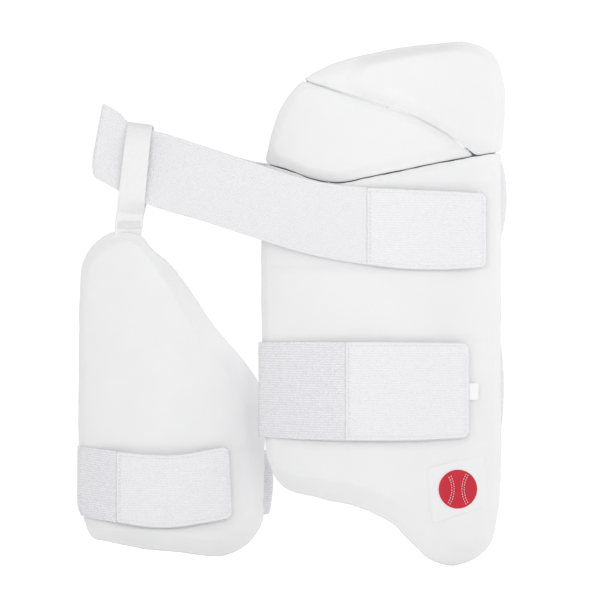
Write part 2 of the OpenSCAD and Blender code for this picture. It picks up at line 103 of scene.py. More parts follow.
# Edge of the raised flat of each panel
MAIN_FLAT = [
    (87, -61), (87.2, 20), (88.3, 110), (88, 170), (84, 179.5), (43, 172), (-8, 161.5), (-36, 156.5),
    (-53, 159), (-72, 166), (-84, 168), (-88, 150), (-88.8, 110), (-88, 40), (-86, -28), (-82, -56),
    (-72, -62), (-50, -66), (-26, -69), (-2, -76), (12, -83), (24, -93), (34, -104), (44, -112),
    (55, -116), (66, -115.5), (75, -110), (81, -99), (85, -82)]
HIP_LOWER_FLAT = [
    (-82, 186), (-79, 201), (-70, 220), (-59, 234), (-50, 234), (-21, 222), (2, 215), (24, 207), (42, 197),
    (48, 191), (38, 188), (0, 179), (-34, 170.5), (-50, 172.5), (-70, 180)]
FACET = [
    (-15, 244), (12, 232), (38.5, 220), (54, 212), (69, 199), (82, 197), (87, 205), (88, 222), (86, 243),
    (79, 256), (66, 262.5), (42, 261.5), (12, 256)]
INNER_OUTLINE = [
    (-210.5, 123.5), (-219, 118.5), (-227.5, 109.5), (-232.3, 99), (-233.8, 83), (-235, 20), (-235.2, -40),
    (-233.4, -78), (-230, -102), (-224, -113), (-212, -116), (-192, -120), (-159, -123.6), (-116, -124.9),
    (-106.5, -120), (-96.5, -109.5), (-92.6, -102), (-91.6, -85), (-90.8, -45), (-90, -10), (-94, 5),
    (-104, 21), (-130, 52),
    (-153, 86), (-165, 100.5), (-178, 111.5), (-188, 122.5), (-198, 124)]
INNER_FLAT = [
    (-207, 114), (-217, 108), (-225, 99), (-229, 84), (-230.5, 20), (-230.5, -40), (-229, -80),
    (-225, -95), (-215, -103), (-190, -106.5), (-159, -110), (-120, -111.5), (-110, -102), (-104.6, -88),
    (-102.8, -60), (-103.5, -26), (-109, -5), (-117, 11), (-131, 30), (-147, 53), (-163, 79), (-175, 96),
    (-184, 108), (-192, 115)]

# Lower and upper edge of the waist belt against X, on its front run and on its back run
BELT_LOW = [(-224.3, 168), (-204, 156.5), (-180, 145.5), (-142, 134), (-98, 119.5), (-59, 107.5),
            (-36, 102.5), (-10, 98.4)]
BELT_HIGH = [(-214.3, 223.4), (-203, 216.4), (-198.5, 211.8), (-195.3, 206.6), (-192, 204), (-177, 202.5),
             (-142, 192), (-98, 177.5), (-59, 165), (-36, 160.5), (-10, 158.2)]
BELT_BACK_LOW = BELT_LOW[:4] + [(-98, 121), (78, 122), (98, 122)]
BELT_BACK_HIGH = BELT_HIGH[:7] + [(-98, 179), (78, 180), (98, 179)]

# Lower and upper edges of the tabs and level straps against X, on the pads' faces and behind them
WAIST_TAB_EDGES = ([(-10.5, 98.4), (12, 95.6), (35, 94.7), (60, 95.2), (81, 96.5)],
                   [(-10.5, 158.2), (81, 154.3)])
THIGH_EDGES = ([(-95, -34), (-60, -35.8), (-27, -36.6), (12, -36.8), (67.5, -34.7)],
               [(-95, 39), (0, 39.7), (67.5, 39)])
INNER_EDGES = ([(-237, -95.5), (-209, -100), (-179, -104.4), (-160, -104.4), (-140, -101.6), (-115, -97.5)],
               [(-237, -41.5), (-217, -44), (-179, -47.6), (-155, -47.6), (-129, -43.5), (-115, -41)])
THIGH_BACK_EDGES = ([(-95, -34), (-80, -36), (95, -36.5)], [(-95, 39), (95, 39.5)])
INNER_BACK_EDGES = ([(-237, -95.5), (-222, -96.5), (-200, -102), (-125, -102), (-100, -97), (-86, -95)],
                    [(-237, -41.5), (-200, -45.5), (-86, -45.5)])

# ---- Curves ----


def unit(v):
    return v/np.linalg.norm(v)


def unit_rows(v):
    return v/np.linalg.norm(v, axis=1)[:, None]


def heading(a, b, c):
    """Direction of a curve at b between its neighbours, led by the nearer one."""
    before, after = np.linalg.norm(b - a), np.linalg.norm(c - b)
    return unit((b - a)/before*after + (c - b)/after*before)


def hermite(p, q, u, v, s):
    """Cubic from p to q that leaves along u and arrives along v, at shares s of the way."""
    return (2*s**3 - 3*s**2 + 1)*p + (s**3 - 2*s**2 + s)*u + (3*s**2 - 2*s**3)*q + (s**3 - s**2)*v


def curve(points, steps, closed):
    """Smooth curve through the points, with that many points on each stretch."""
    p = np.array(points, float)
    n = len(p)
    s = (np.arange(steps)/steps)[:, None]
    parts = []
    for i in range(n if closed else n - 1):
        a, b, c, d = p[i - 1], p[i], p[(i + 1) % n], p[(i + 2) % n]
        span = np.linalg.norm(c - b)
        u = heading(a, b, c) if closed or i > 0 else unit(c - b)
        v = heading(b, c, d) if closed or i < n - 2 else unit(c - b)
        parts.append(hermite(b, c, u*span, v*span, s))
    return np.vstack(parts if closed else parts + [p[-1:]])


def closed_curve(points, step):
    """Smooth loop through the points, evenly spaced."""
    return resample(curve(points, 8, True), step, closed=True)


def open_curve(points, steps=8):
    return curve(points, steps, False)


def arc(cx, cy, r, start, end, step=2.0):
    """Points from angle start to end, in degrees from +X."""
    a = np.radians(np.linspace(start, end, max(3, int(abs(end - start)/step) + 2)))
    return np.column_stack([cx + r*np.cos(a), cy + r*np.sin(a)])


def resample(line, step, closed=False):
    """Points evenly spaced along a line, about step apart."""
    p = np.vstack([line, line[:1]]) if closed else np.asarray(line, float)
    s = travel(p)
    n = max(3, int(round(s[-1]/step)))
    at = np.linspace(0, s[-1], n + 1)
    if closed:
        at = at[:-1]
    return np.column_stack([np.interp(at, s, p[:, k]) for k in range(p.shape[1])])


def travel(line):
    """Distance along a line at each of its points."""
    return np.concatenate([[0], np.cumsum(np.linalg.norm(np.diff(line, axis=0), axis=1))])


def rounded(loop, passes):
    """Loop with its corners eased."""
    for _ in range(passes):
        loop = loop + 0.5*((np.roll(loop, 1, 0) + np.roll(loop, -1, 0))/2 - loop)
    return loop


def outward(loop):
    """Unit normals of an anticlockwise loop."""
    d = unit_rows(np.roll(loop, -1, 0) - np.roll(loop, 1, 0))
    return np.column_stack([d[:, 1], -d[:, 0]])


def inset(loop, d):
    """The loop moved inwards by d, or outwards where d is negative."""
    return loop - d*outward(loop)


def distance(points, line, closed=True):
    """Distance of each point from a line."""
    a = line if closed else line[:-1]
    b = np.roll(line, -1, 0) if closed else line[1:]
    d = b - a
    size = np.maximum((d*d).sum(1), 1e-12)
    best = np.full(len(points), np.inf)
    for k in range(0, len(points), 2000):
        rel = points[k:k + 2000, None, :] - a[None]
        t = np.clip((rel*d).sum(2)/size, 0, 1)
        gap = rel - t[..., None]*d
        best[k:k + 2000] = np.sqrt((gap*gap).sum(2).min(1))
    return best


def inside(points, loop):
    """True for each point that lies in the loop."""
    x, z = points[:, 0][:, None], points[:, 1][:, None]
    ax, az = loop[:, 0], loop[:, 1]
    bx, bz = np.roll(ax, -1), np.roll(az, -1)
    rise = np.where(bz == az, 1e-12, bz - az)
    cross = ((az > z) != (bz > z)) & (x < (bx - ax)*(z - az)/rise + ax)
    return cross.sum(1) % 2 == 1


def smoothstep(t):
    """Eased step from 0 to 1 as t goes from 0 to 1."""
    t = np.clip(t, 0, 1)
    return t*t*(3 - 2*t)


def ripple(x, z, size, seed):
    """Smooth irregular waves of about that size, between -1 and 1."""
    rng = np.random.default_rng(seed)
    total = np.zeros_like(x, float)
    for _ in range(7):
        turn, phase, stretch = rng.uniform(0, 2*math.pi), rng.uniform(0, 2*math.pi), rng.uniform(0.7, 1.5)
        wave = 2*math.pi/(size*stretch)
        total += np.sin(wave*(x*math.cos(turn) + z*math.sin(turn)) + phase)
    return total/4.0


# ---- Meshes ----


def new_object(name, verts, faces, material, uv=None):
    """Smooth mesh object from millimetre vertices; uv holds each vertex's place on the fabric."""
    mesh = bpy.data.meshes.new(name)
    mesh.from_pydata((np.asarray(verts)*MM).tolist(), [], faces)
    mesh.validate()
    mesh.polygons.foreach_set("use_smooth", [True]*len(mesh.polygons))
    if uv is not None:
        layer = mesh.uv_layers.new(name="fabric")
        index = np.empty(len(mesh.loops), np.int32)
        mesh.loops.foreach_get("vertex_index", index)
        layer.data.foreach_set("uv", (np.asarray(uv)*MM)[index].astype(np.float32).ravel())
    mesh.materials.append(material)
    obj = bpy.data.objects.new(name, mesh)
    bpy.context.scene.collection.objects.link(obj)
    return obj


def attach(obj, slot, body, *nodes):
    """Give a piece its body, and hide the CAD solids that it stands for; slot is not used."""
    if nodes:
        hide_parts(*nodes)
    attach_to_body(obj, body)


def tube_faces(n, m, closed=False):
    """Faces of a tube made of m lines of n points each; its ends are capped unless it closes on itself."""
    faces = []
    for k in range(m):
        k2 = (k + 1) % m
        for i in range(n if closed else n - 1):
            j = (i + 1) % n
            faces.append((k*n + i, k*n + j, k2*n + j, k2*n + i))
    if not closed:
        faces.append(tuple(k*n for k in range(m)))
        faces.append(tuple(k*n + n - 1 for k in reversed(range(m))))
    return faces


def face_y(pad, x, offset=0.0):
    """Y of the pad's front cylinder at x, offset outwards from its face."""
    r = pad["r"] + offset
    return pad["r"] - pad["reach"] - np.sqrt(r*r - (x - pad["cx"])**2)


def on_pad(pad, offset=0.0):
    """Placing function: X, Z and a depth behind a face that stands offset in front of the pad's."""
    def place(xz, depth):
        return np.column_stack([xz[:, 0], face_y(pad, xz[:, 0], offset) + depth, xz[:, 1]])
    return place


def sheet_mesh(loop, spacing, creases=()):
    """Triangles that fill a loop, with points along the creases. The loop's points come first."""
    lo, hi = loop.min(0), loop.max(0)
    xs = np.arange(lo[0], hi[0], spacing)
    zs = np.arange(lo[1], hi[1], spacing*0.87)
    gx, gz = np.meshgrid(xs, zs)
    gx[1::2] += spacing/2
    grid = np.column_stack([gx.ravel(), gz.ravel()])
    grid = grid[inside(grid, loop)]
    grid = grid[distance(grid, loop) > spacing*0.6]
    points = [loop]
    for crease in creases:
        line = resample(crease, spacing, closed=True)
        line = line[inside(line, loop)]
        line = line[distance(line, loop) > spacing*0.5]
        if len(line):
            grid = grid[distance(grid, resample(crease, spacing, closed=True)) > spacing*0.55]
            points.append(line)
    everything = np.vstack(points + [grid])
    edges = [(i, (i + 1) % len(loop)) for i in range(len(loop))]
    out, _, faces, origin, _, _ = delaunay_2d_cdt(everything.tolist(), edges, [], 1, 1e-5)
    xz = np.array([(v[0], v[1]) for v in out])
    rim = np.empty(len(loop), int)
    for k, sources in enumerate(origin):
        for source in sources:
            if source < len(loop):
                rim[source] = k
    return xz, [tuple(f) for f in faces], rim


def eased(values, faces, fixed, passes):
    """Vertex values averaged with their neighbours, apart from the fixed ones."""
    f = np.array(faces)
    a = np.concatenate([f[:, 0], f[:, 1], f[:, 2]])
    b = np.concatenate([f[:, 1], f[:, 2], f[:, 0]])
    count = np.bincount(a, minlength=len(values)) + np.bincount(b, minlength=len(values))
    for _ in range(passes):
        total = np.bincount(a, values[b], len(values)) + np.bincount(b, values[a], len(values))
        mean = total/np.maximum(count, 1)
        new = 0.4*values + 0.6*mean
        new[fixed] = values[fixed]
        values = new
    return values


WALL_UV, REAR_UV = 400.0, 900.0   # keep the weave of a panel's wall and back apart from that of its face
PUCKER_SIZE = 14.0                # length of the waves in a panel's side wall


def wall_faces(front, back):
    """Faces between two rings of equally many vertices."""
    rows = np.column_stack([front, back, np.roll(back, -1), np.roll(front, -1)])
    return [tuple(face) for face in rows.tolist()]


def panel(name, loop, place, thick, material, *, edge, spacing, ease, wall_steps, depth=None, back_depth=None,
          creases=(), pucker=0.0, draft=0.0):
    """Closed padded sheet: a face over the loop, a rounded edge, a side wall and a back.

    edge is the rounding's size, ease is how often the depths are averaged, depth and back_depth sink the face
    and the back, pucker is how far the side wall waves, and draft is how far it leans in towards the back.
    """
    loop = resample(loop, min(spacing, 2.0), closed=True)
    xz, faces, rim = sheet_mesh(inset(loop, edge), spacing, creases)
    n = len(xz)
    front = depth(xz) if depth else np.zeros(n)
    front = eased(front, faces, rim, ease)
    back = np.full(n, float(thick)) + (back_depth(xz) if back_depth else 0)
    back = eased(back, faces, rim, ease)
    f = np.array(faces)
    a, b, c = xz[f[:, 0]], xz[f[:, 1]], xz[f[:, 2]]
    area = (b[:, 0] - a[:, 0])*(c[:, 1] - a[:, 1]) - (b[:, 1] - a[:, 1])*(c[:, 0] - a[:, 0])
    f[area < 0] = f[area < 0][:, ::-1]
    verts = [place(xz, front)]
    uv = [xz]
    all_faces = [tuple(t) for t in f]
    d_front, d_back = front[rim], back[rim]
    normal = outward(loop)
    size = len(loop)
    around = np.arange(size)*2.0
    # Side wall: rings of an inset and a depth. Three rings round off each edge, given as shares of the
    # inset and of the depth, and wall_steps - 1 rings lie between them. Thin sheets get a smaller rounding.
    rounding = [(0.35, 0.35/1.4), (0.08, 0.95/1.4), (0.0, 1.8/1.4)]
    room = np.maximum(d_back - d_front, 0.2)
    soft = np.minimum(1.0, room/(4.0*edge))*edge
    rings = [(inward*edge, d_front + drop*soft) for inward, drop in rounding]
    top, bottom = d_front + rounding[-1][1]*soft, d_back - rounding[-1][1]*soft
    for share in np.arange(1, wall_steps)/wall_steps:
        rings.append((draft*share, top + (bottom - top)*share))
    rings += [(inward*edge + draft, d_back - drop*soft) for inward, drop in reversed(rounding)]
    total = n
    previous = rim
    for k, (inward, ring_depth) in enumerate(rings):
        middle = math.sin(math.pi*(k + 1)/(len(rings) + 1))
        wave = pucker*middle*ripple(around, np.full(size, 3.0*k), PUCKER_SIZE, 5)
        ring = loop - normal*(inward + wave)[:, None]
        verts.append(place(ring, ring_depth))
        uv.append(np.column_stack([around, ring_depth + WALL_UV]))
        current = total + np.arange(size)
        all_faces += wall_faces(previous, current)
        previous = current
        total += size
    behind = xz.copy()
    behind[rim] -= normal*draft
    verts.append(place(behind, back))
    uv.append(xz + np.array([0, REAR_UV]))
    all_faces += wall_faces(previous, total + rim)
    all_faces += [tuple(int(v) + total for v in t[::-1]) for t in f]
    return new_object(name, np.vstack(verts), all_faces, material, np.vstack(uv))


def patch(name, loop, pad, offset, thick, material, edge=0.5, spacing=3.0, depth=None):
    """Thin flat piece that lies at an offset in front of a pad's face."""
    return panel(name, loop, on_pad(pad, offset), thick, material, depth=depth, edge=edge, spacing=spacing,
                 ease=0, wall_steps=1)


SELVEDGE_W = 1.5              # from a strap's edge to the groove along its selvedge
SELVEDGE_DEPTH = 0.35
SELVEDGE_SOFT = 0.6           # how wide the groove is
BACK_UV = 300.0               # keeps the weave of a strap's inner face apart from that of its outer face


def half_round(r, steps):
    """Points (outwards along the width, off the inner face) round one edge of a strap of thickness 2 r."""
    bend = np.radians(np.linspace(90, -90, steps))[1:-1]
    return [(r*math.cos(a), r + r*math.sin(a)) for a in bend]


def strap(name, path, low, high, thick, material, rows, lean=None, wave=None):
    """Flat strap: path is its inner face seen from above, low and high are its edges' heights along it.

    lean is how far each edge is shifted along X, and wave pushes the strap outwards.
    """
    path = np.asarray(path, float)
    n = len(path)
    tangent = unit_rows(np.gradient(path, axis=0))
    out = np.column_stack([tangent[:, 1], -tangent[:, 0], np.zeros(n)])
    s = travel(path)
    lean = np.zeros(n) if lean is None else lean
    middle, half = (low + high)/2, (high - low)/2
    up = np.column_stack([lean/half, np.zeros(n), np.ones(n)])
    base = np.column_stack([path[:, 0], path[:, 1], middle])
    # Section: across the outer face, round one selvedge, back across the inner face, round the other.
    # A fine groove runs along each selvedge.
    r = thick/2
    u = np.sin(np.linspace(-math.pi/2, math.pi/2, rows + 1))
    groove = SELVEDGE_DEPTH*np.exp(-(((1 - np.abs(u))*half.mean() - SELVEDGE_W)/SELVEDGE_SOFT)**2)
    bend = half_round(r, 7)
    section = [(v, 0.0, thick - g) for v, g in zip(u, groove)] + [(1, a, b) for a, b in bend]
    section += [(v, 0.0, 0.0) for v in u[::-1]] + [(-1, -a, thick - b) for a, b in bend]
    verts, uv = [], []
    for v, extra, off in section:
        reach = v*(half - r) + extra
        bump = wave(s, np.full(n, v)) if wave else np.zeros(n)
        verts.append(base + up*reach[:, None] + out*(off + bump)[:, None])
        uv.append(np.column_stack([s, v*half + (BACK_UV if off < r else 0.0)]))
    return new_object(name, np.vstack(verts), tube_faces(n, len(section)), material, np.vstack(uv))


def ring_sweep(name, line, normals, profile, material):
    """Profile points (along the normal, across it) swept round a closed line in space."""
    n = len(line)
    tangent = unit_rows(np.roll(line, -1, 0) - np.roll(line, 1, 0))
    side = unit_rows(np.cross(tangent, normals))
    verts = np.vstack([line + normals*a + side*b for a, b in profile])
    uv = np.vstack([np.column_stack([travel(line), np.full(n, 2.0*k)]) for k in range(len(profile))])
    return new_object(name, verts, tube_faces(n, len(profile), True), material, uv)


THREAD = 0.32                 # radius of the sewing thread
STITCH = 2.3                  # length of one visible stitch
PITCH = 3.1                   # from one stitch to the next


def stitches(name, lines, material, pitch=PITCH, length=STITCH, radius=THREAD):
    """Rows of separate stitches; each line is (points, outward normals) on the sewn surface."""
    verts, faces = [], []
    ring = [(math.cos(a), math.sin(a)) for a in np.radians(np.arange(0, 360, 72))]
    for points, normals in lines:
        s = travel(points)
        for at in np.arange(pitch/2, s[-1] - length/2, pitch):
            centre = np.array([np.interp(at, s, points[:, k]) for k in range(3)])
            ahead = np.array([np.interp(at + 0.5, s, points[:, k]) for k in range(3)])
            up = unit(np.array([np.interp(at, s, normals[:, k]) for k in range(3)]))
            along = ahead - centre
            if np.linalg.norm(along) < 1e-9:
                continue
            along = unit(along)
            side = np.cross(along, up)
            base = len(verts)
            for share, size in ((-0.5, 0.3), (-0.36, 0.9), (0.36, 0.9), (0.5, 0.3)):
                lift = 0.12 if abs(share) < 0.4 else -0.2
                middle = centre + along*share*length + up*lift
                verts += [middle + (up*sa + side*ca)*radius*size for ca, sa in ring]
            for k in range(3):
                for i in range(5):
                    j = (i + 1) % 5
                    faces.append((base + 5*k + i, base + 5*k + j, base + 5*k + 5 + j, base + 5*k + 5 + i))
            faces.append(tuple(base + i for i in reversed(range(5))))
            faces.append(tuple(base + 15 + i for i in range(5)))
    return new_object(name, np.array(verts), faces, material)


# ---- Materials ----


WAVE_REPEAT = 0.314159        # how far apart the bands of a wave texture are at scale 1


class Graph:
    """Short way to build a material's nodes; its textures lie in the object's space or on the fabric's."""

    def __init__(self, name, space=None):
        self.material = bpy.data.materials.new(name)
        self.material.use_nodes = True
        self.tree = self.material.node_tree
        self.tree.nodes.clear()
        self.out = self.add("ShaderNodeOutputMaterial")
        self.shader = self.add("ShaderNodeBsdfPrincipled")
        self.link(self.shader.outputs[0], self.out.inputs["Surface"])
        if space == "fabric":
            self.space = self.add("ShaderNodeUVMap", uv_map="fabric").outputs["UV"]
        elif space == "object":
            self.space = self.add("ShaderNodeTexCoord").outputs["Object"]

    def add(self, kind, **values):
        node = self.tree.nodes.new(kind)
        for key, value in values.items():
            if hasattr(node, key):
                setattr(node, key, value)
            else:
                node.inputs[key].default_value = value
        return node

    def link(self, source, target):
        self.tree.links.new(source, target)

    def noise(self, size_mm, detail=3.0, rough=0.55):
        node = self.add("ShaderNodeTexNoise", Scale=1000.0/size_mm, Detail=detail, Roughness=rough)
        self.link(self.space, node.inputs["Vector"])
        return node.outputs["Fac"]

    def cells(self, size_mm, randomness=1.0):
        """Distance from the middle of the nearest cell, in cells about that size."""
        node = self.add("ShaderNodeTexVoronoi", Scale=1000.0/size_mm, Randomness=randomness)
        self.link(self.space, node.inputs["Vector"])
        return node.outputs["Distance"]

    def bands(self, period_mm, direction, distort, distort_mm=3.0):
        """Sine bands across the direction, with the given period."""
        node = self.add("ShaderNodeTexWave", bands_direction=direction, Scale=WAVE_REPEAT*1000.0/period_mm,
                        Distortion=distort)
        node.inputs["Detail Scale"].default_value = period_mm/distort_mm
        self.link(self.space, node.inputs["Vector"])
        return node.outputs["Fac"]

    def math(self, operation, a, b):
        node = self.add("ShaderNodeMath", operation=operation)
        for k, value in enumerate((a, b)):
            if isinstance(value, (int, float)):
                node.inputs[k].default_value = value
            else:
                self.link(value, node.inputs[k])
        return node.outputs[0]

    def span(self, value, low, high, from_low=0.0, from_high=1.0):
        """Value mapped from its own range to low and high, and held there."""
        node = self.add("ShaderNodeMapRange", **{"From Min": from_low, "From Max": from_high,
                                                 "To Min": low, "To Max": high})
        self.link(value, node.inputs["Value"])
        return node.outputs["Result"]

    def mix(self, factor, a, b):
        node = self.add("ShaderNodeMix", data_type="RGBA")
        self.link(factor, node.inputs["Factor"])
        for socket, value in ((node.inputs[6], a), (node.inputs[7], b)):
            if isinstance(value, tuple):
                socket.default_value = (*value, 1.0)
            else:
                self.link(value, socket)
        return node.outputs[2]

    def bump(self, height, distance_mm, strength=1.0, before=None):
        node = self.add("ShaderNodeBump", Strength=strength, Distance=distance_mm*MM)
        self.link(height, node.inputs["Height"])
        if before is not None:
            self.link(before, node.inputs["Normal"])
        return node.outputs["Normal"]

    def painted_hollow_shade(self, colour, hollow_shade_tint, low=0.42, high=0.5):
        """Colour with painted shade: it darkens towards the shade tint in the hollows of the mesh, where
        shade falls.
        """
        hollow = self.span(self.add("ShaderNodeNewGeometry").outputs["Pointiness"], 1.0, 0.0, low, high)
        return self.mix(hollow, colour, hollow_shade_tint)

    def finish(self, colour, roughness, normal, sheen=0.0, sheen_rough=0.5, specular=0.5):
        for socket, source in (("Base Color", colour), ("Roughness", roughness), ("Normal", normal)):
            self.link(source, self.shader.inputs[socket])
        for socket, value in (("Sheen Weight", sheen), ("Sheen Roughness", sheen_rough),
                              ("Specular IOR Level", specular)):
            self.shader.inputs[socket].default_value = value
        return self.material


def cover_material():
    """Coated stretch fabric: very fine grain and slight mottling, with painted shade in the hollows."""
    g = Graph("cover_fabric", "object")
    broad = g.noise(45.0, 4.0)
    fine = g.noise(0.9, 3.0, 0.6)
    grain = g.noise(2.6, 4.0, 0.6)
    colour = g.mix(g.span(broad, 0.0, 1.0, 0.35, 0.65), (0.845, 0.845, 0.848), (0.865, 0.865, 0.866))
    colour = g.mix(g.span(fine, 0.0, 0.25, 0.3, 0.75), colour, (0.80, 0.80, 0.81))
    # Painted shade: the colour darkens to a grey in the hollows of the mesh.
    colour = g.painted_hollow_shade(colour, (0.68, 0.67, 0.69))
    normal = g.bump(grain, 0.10, 0.35)
    normal = g.bump(fine, 0.08, 0.5, normal)
    return g.finish(colour, g.span(fine, 0.62, 0.8, 0.3, 0.7), normal, 0.15, 0.4, 0.22)


def elastic_material(name, light, dark, loop_mm, rib_mm):
    """Terry-faced elastic: small loops over fine ribs, darker between them."""
    g = Graph(name, "fabric")
    loops = g.cells(loop_mm, 0.9)
    ribs = g.bands(rib_mm, "Y", 1.2, 6.0)
    cross = g.bands(rib_mm*0.8, "X", 1.5, 5.0)
    patchy = g.noise(9.0, 3.0)
    fuzz = g.noise(0.6, 3.0, 0.7)
    shade = g.math("MULTIPLY", g.span(loops, 0.0, 1.0, 0.15, 0.8), g.span(fuzz, 0.5, 1.0, 0.3, 0.7))
    colour = g.mix(shade, light, dark)
    colour = g.mix(g.span(patchy, 0.0, 0.14, 0.35, 0.7), colour, dark)
    colour = g.mix(g.span(ribs, 0.55, 0.0, 0.15, 0.75), colour, dark)
    height = g.math("ADD", g.math("MULTIPLY", loops, -0.7), g.math("MULTIPLY", ribs, 0.25))
    height = g.math("ADD", height, g.math("MULTIPLY", cross, 0.15))
    normal = g.bump(height, 0.45, 0.8)
    normal = g.bump(fuzz, 0.2, 0.5, normal)
    return g.finish(colour, g.span(fuzz, 0.75, 0.95, 0.3, 0.7), normal, 0.35, 0.5, 0.2)


def weave_material(name, light, dark, period_mm, depth_mm=0.2, sheen=0.2, distort=0.4):
    """Plain weave of ribs that run across and along."""
    g = Graph(name, "fabric")
    across = g.bands(period_mm, "X", distort)
    along = g.bands(period_mm*1.4, "Y", distort)
    cloth = g.math("MULTIPLY", g.span(across, 0.3, 1.0), g.span(along, 0.3, 1.0))
    fuzz = g.noise(0.7, 3.0)
    broad = g.noise(18.0, 3.0)
    colour = g.mix(g.span(cloth, 1.0, 0.0, 0.15, 0.75), light, dark)
    colour = g.mix(g.span(broad, 0.0, 0.25, 0.35, 0.65), colour, dark)
    normal = g.bump(cloth, depth_mm, 0.8)
    normal = g.bump(fuzz, 0.12, 0.4, normal)
    return g.finish(colour, g.span(fuzz, 0.62, 0.85, 0.3, 0.7), normal, sheen, 0.5, 0.3)


def towel_material():
    """Brushed towelling with short tufts, with painted shade in the hollows."""
    g = Graph("liner_towelling", "object")
    tuft = g.cells(1.5, 0.8)
    fuzz = g.noise(0.5, 4.0, 0.7)
    broad = g.noise(22.0, 3.0)
    colour = g.mix(g.span(tuft, 0.0, 1.0, 0.1, 0.7), (0.84, 0.84, 0.86), (0.66, 0.66, 0.70))
    colour = g.mix(g.span(broad, 0.0, 0.4, 0.35, 0.65), colour, (0.74, 0.74, 0.77))
    # Painted shade: the colour darkens to a dark grey in the hollows of the mesh.
    colour = g.painted_hollow_shade(colour, (0.5, 0.5, 0.54))
    normal = g.bump(g.math("MULTIPLY", tuft, -1.0), 0.5, 0.8)
    normal = g.bump(fuzz, 0.25, 0.6, normal)
    return g.finish(colour, g.span(fuzz, 0.8, 0.98, 0.3, 0.7), normal, 0.5, 0.5, 0.15)


def hook_material(name, colour_a, colour_b, size_mm, depth_mm):
    """Rows of tiny hooks or loops."""
    g = Graph(name, "fabric")
    hooks = g.cells(size_mm, 0.35)
    rows = g.bands(size_mm, "Y", 0.3)
    fuzz = g.noise(0.5, 2.0)
    colour = g.mix(g.span(hooks, 0.0, 1.0, 0.1, 0.6), colour_a, colour_b)
    height = g.math("SUBTRACT", g.math("MULTIPLY", rows, 0.5), hooks)
    normal = g.bump(height, depth_mm, 0.9)
    return g.finish(colour, g.span(fuzz, 0.55, 0.8, 0.3, 0.7), normal, 0.1, 0.5, 0.4)


def foam_material():
    """Fine closed-cell foam, slightly yellowed."""
    g = Graph("closed_cell_foam", "object")
    broad = g.noise(12.0)
    colour = g.mix(g.span(broad, 0.0, 1.0, 0.35, 0.65), (0.80, 0.78, 0.70), (0.86, 0.84, 0.78))
    normal = g.bump(g.cells(0.8), 0.25, 0.7)
    return g.finish(colour, g.span(broad, 0.7, 0.9), normal)


def plastic_material(name, colour, worn, rough):
    """Moulded plastic with a fine spark-eroded grain."""
    g = Graph(name, "object")
    grain = g.noise(0.7, 3.0)
    broad = g.noise(16.0, 4.0)
    mixed = g.mix(g.span(broad, 0.0, 1.0, 0.4, 0.7), colour, worn)
    normal = g.bump(grain, 0.06, 0.5)
    return g.finish(mixed, g.span(grain, rough - 0.08, rough + 0.1, 0.3, 0.7), normal, 0.0, 0.5, 0.45)


def thread_material(name, light, dark):
    """Twisted sewing thread."""
    g = Graph(name, "object")
    twist = g.noise(0.35, 2.0)
    colour = g.mix(g.span(twist, 0.0, 1.0, 0.35, 0.65), dark, light)
    normal = g.bump(twist, 0.08, 0.6)
    return g.finish(colour, g.span(twist, 0.45, 0.65), normal, 0.2, 0.4, 0.4)


M_COVER = cover_material()
M_BELT = elastic_material("belt_elastic", (0.90, 0.896, 0.916), (0.80, 0.795, 0.822), 0.9, 1.7)
M_ELASTIC = elastic_material("strap_elastic", (0.95, 0.945, 0.965), (0.70, 0.695, 0.735), 1.0, 1.9)
M_TAB = elastic_material("tab_terry", (0.925, 0.923, 0.943), (0.81, 0.807, 0.835), 1.1, 1.9)
M_WEBBING = weave_material("carrier_webbing", (0.90, 0.90, 0.90), (0.84, 0.84, 0.842), 1.1)
M_BINDING = weave_material("binding_tape", (0.84, 0.84, 0.86), (0.66, 0.66, 0.70), 0.8, 0.15)
M_GUSSET = weave_material("gusset_fabric", (0.62, 0.62, 0.66), (0.44, 0.44, 0.50), 0.9, 0.15)
M_LINER = towel_material()
M_HOOK = hook_material("hook_tape", (0.80, 0.80, 0.81), (0.60, 0.60, 0.62), 1.6, 0.6)
M_LOOP = hook_material("loop_tape", (0.84, 0.84, 0.86), (0.70, 0.70, 0.73), 1.2, 0.4)
M_FOAM = foam_material()
M_SHIELD = plastic_material("shield_plastic", (0.05, 0.05, 0.055), (0.08, 0.08, 0.085), 0.45)
M_BADGE = weave_material("badge_film", (0.88, 0.88, 0.88), (0.84, 0.84, 0.84), 0.5, 0.03, 0.05, 0.1)
M_MOTIF = plastic_material("motif_film", (0.60, 0.012, 0.035), (0.52, 0.01, 0.03), 0.42)
M_LABEL = weave_material("label_satin", (0.96, 0.96, 0.96), (0.90, 0.90, 0.90), 0.5, 0.05)
M_THREAD = thread_material("sewing_thread", (0.88, 0.88, 0.89), (0.74, 0.74, 0.77))

# ---- Outlines of the three panels of the outer pad ----

silhouette = closed_curve(OUTER_OUTLINE, 1.5)
long_seam = open_curve(LONG_SEAM)
crest_seam = open_curve(CREST_SEAM)


def seam_z(seam, x):
    return np.interp(x, seam[:, 0], seam[:, 1])


def stretch_of(mask):
    """The silhouette's points where mask holds, in order round the pad."""
    start = next(i for i in range(len(mask)) if mask[i] and not mask[i - 1])
    order = (start + np.arange(len(mask))) % len(mask)
    return silhouette[order[:int(np.argmin(mask[order]))]]


def along_seam(height, x0, x1):
    """Points along a seam whose Z is height(x)."""
    x = np.linspace(x0, x1, max(2, int(abs(x1 - x0)/1.5)))
    return np.column_stack([x, height(x)])


def closed_by(edge, height):
    """An edge of the silhouette, closed along a seam."""
    return np.vstack([edge, along_seam(height, edge[-1][0], edge[0][0])[1:-1]])


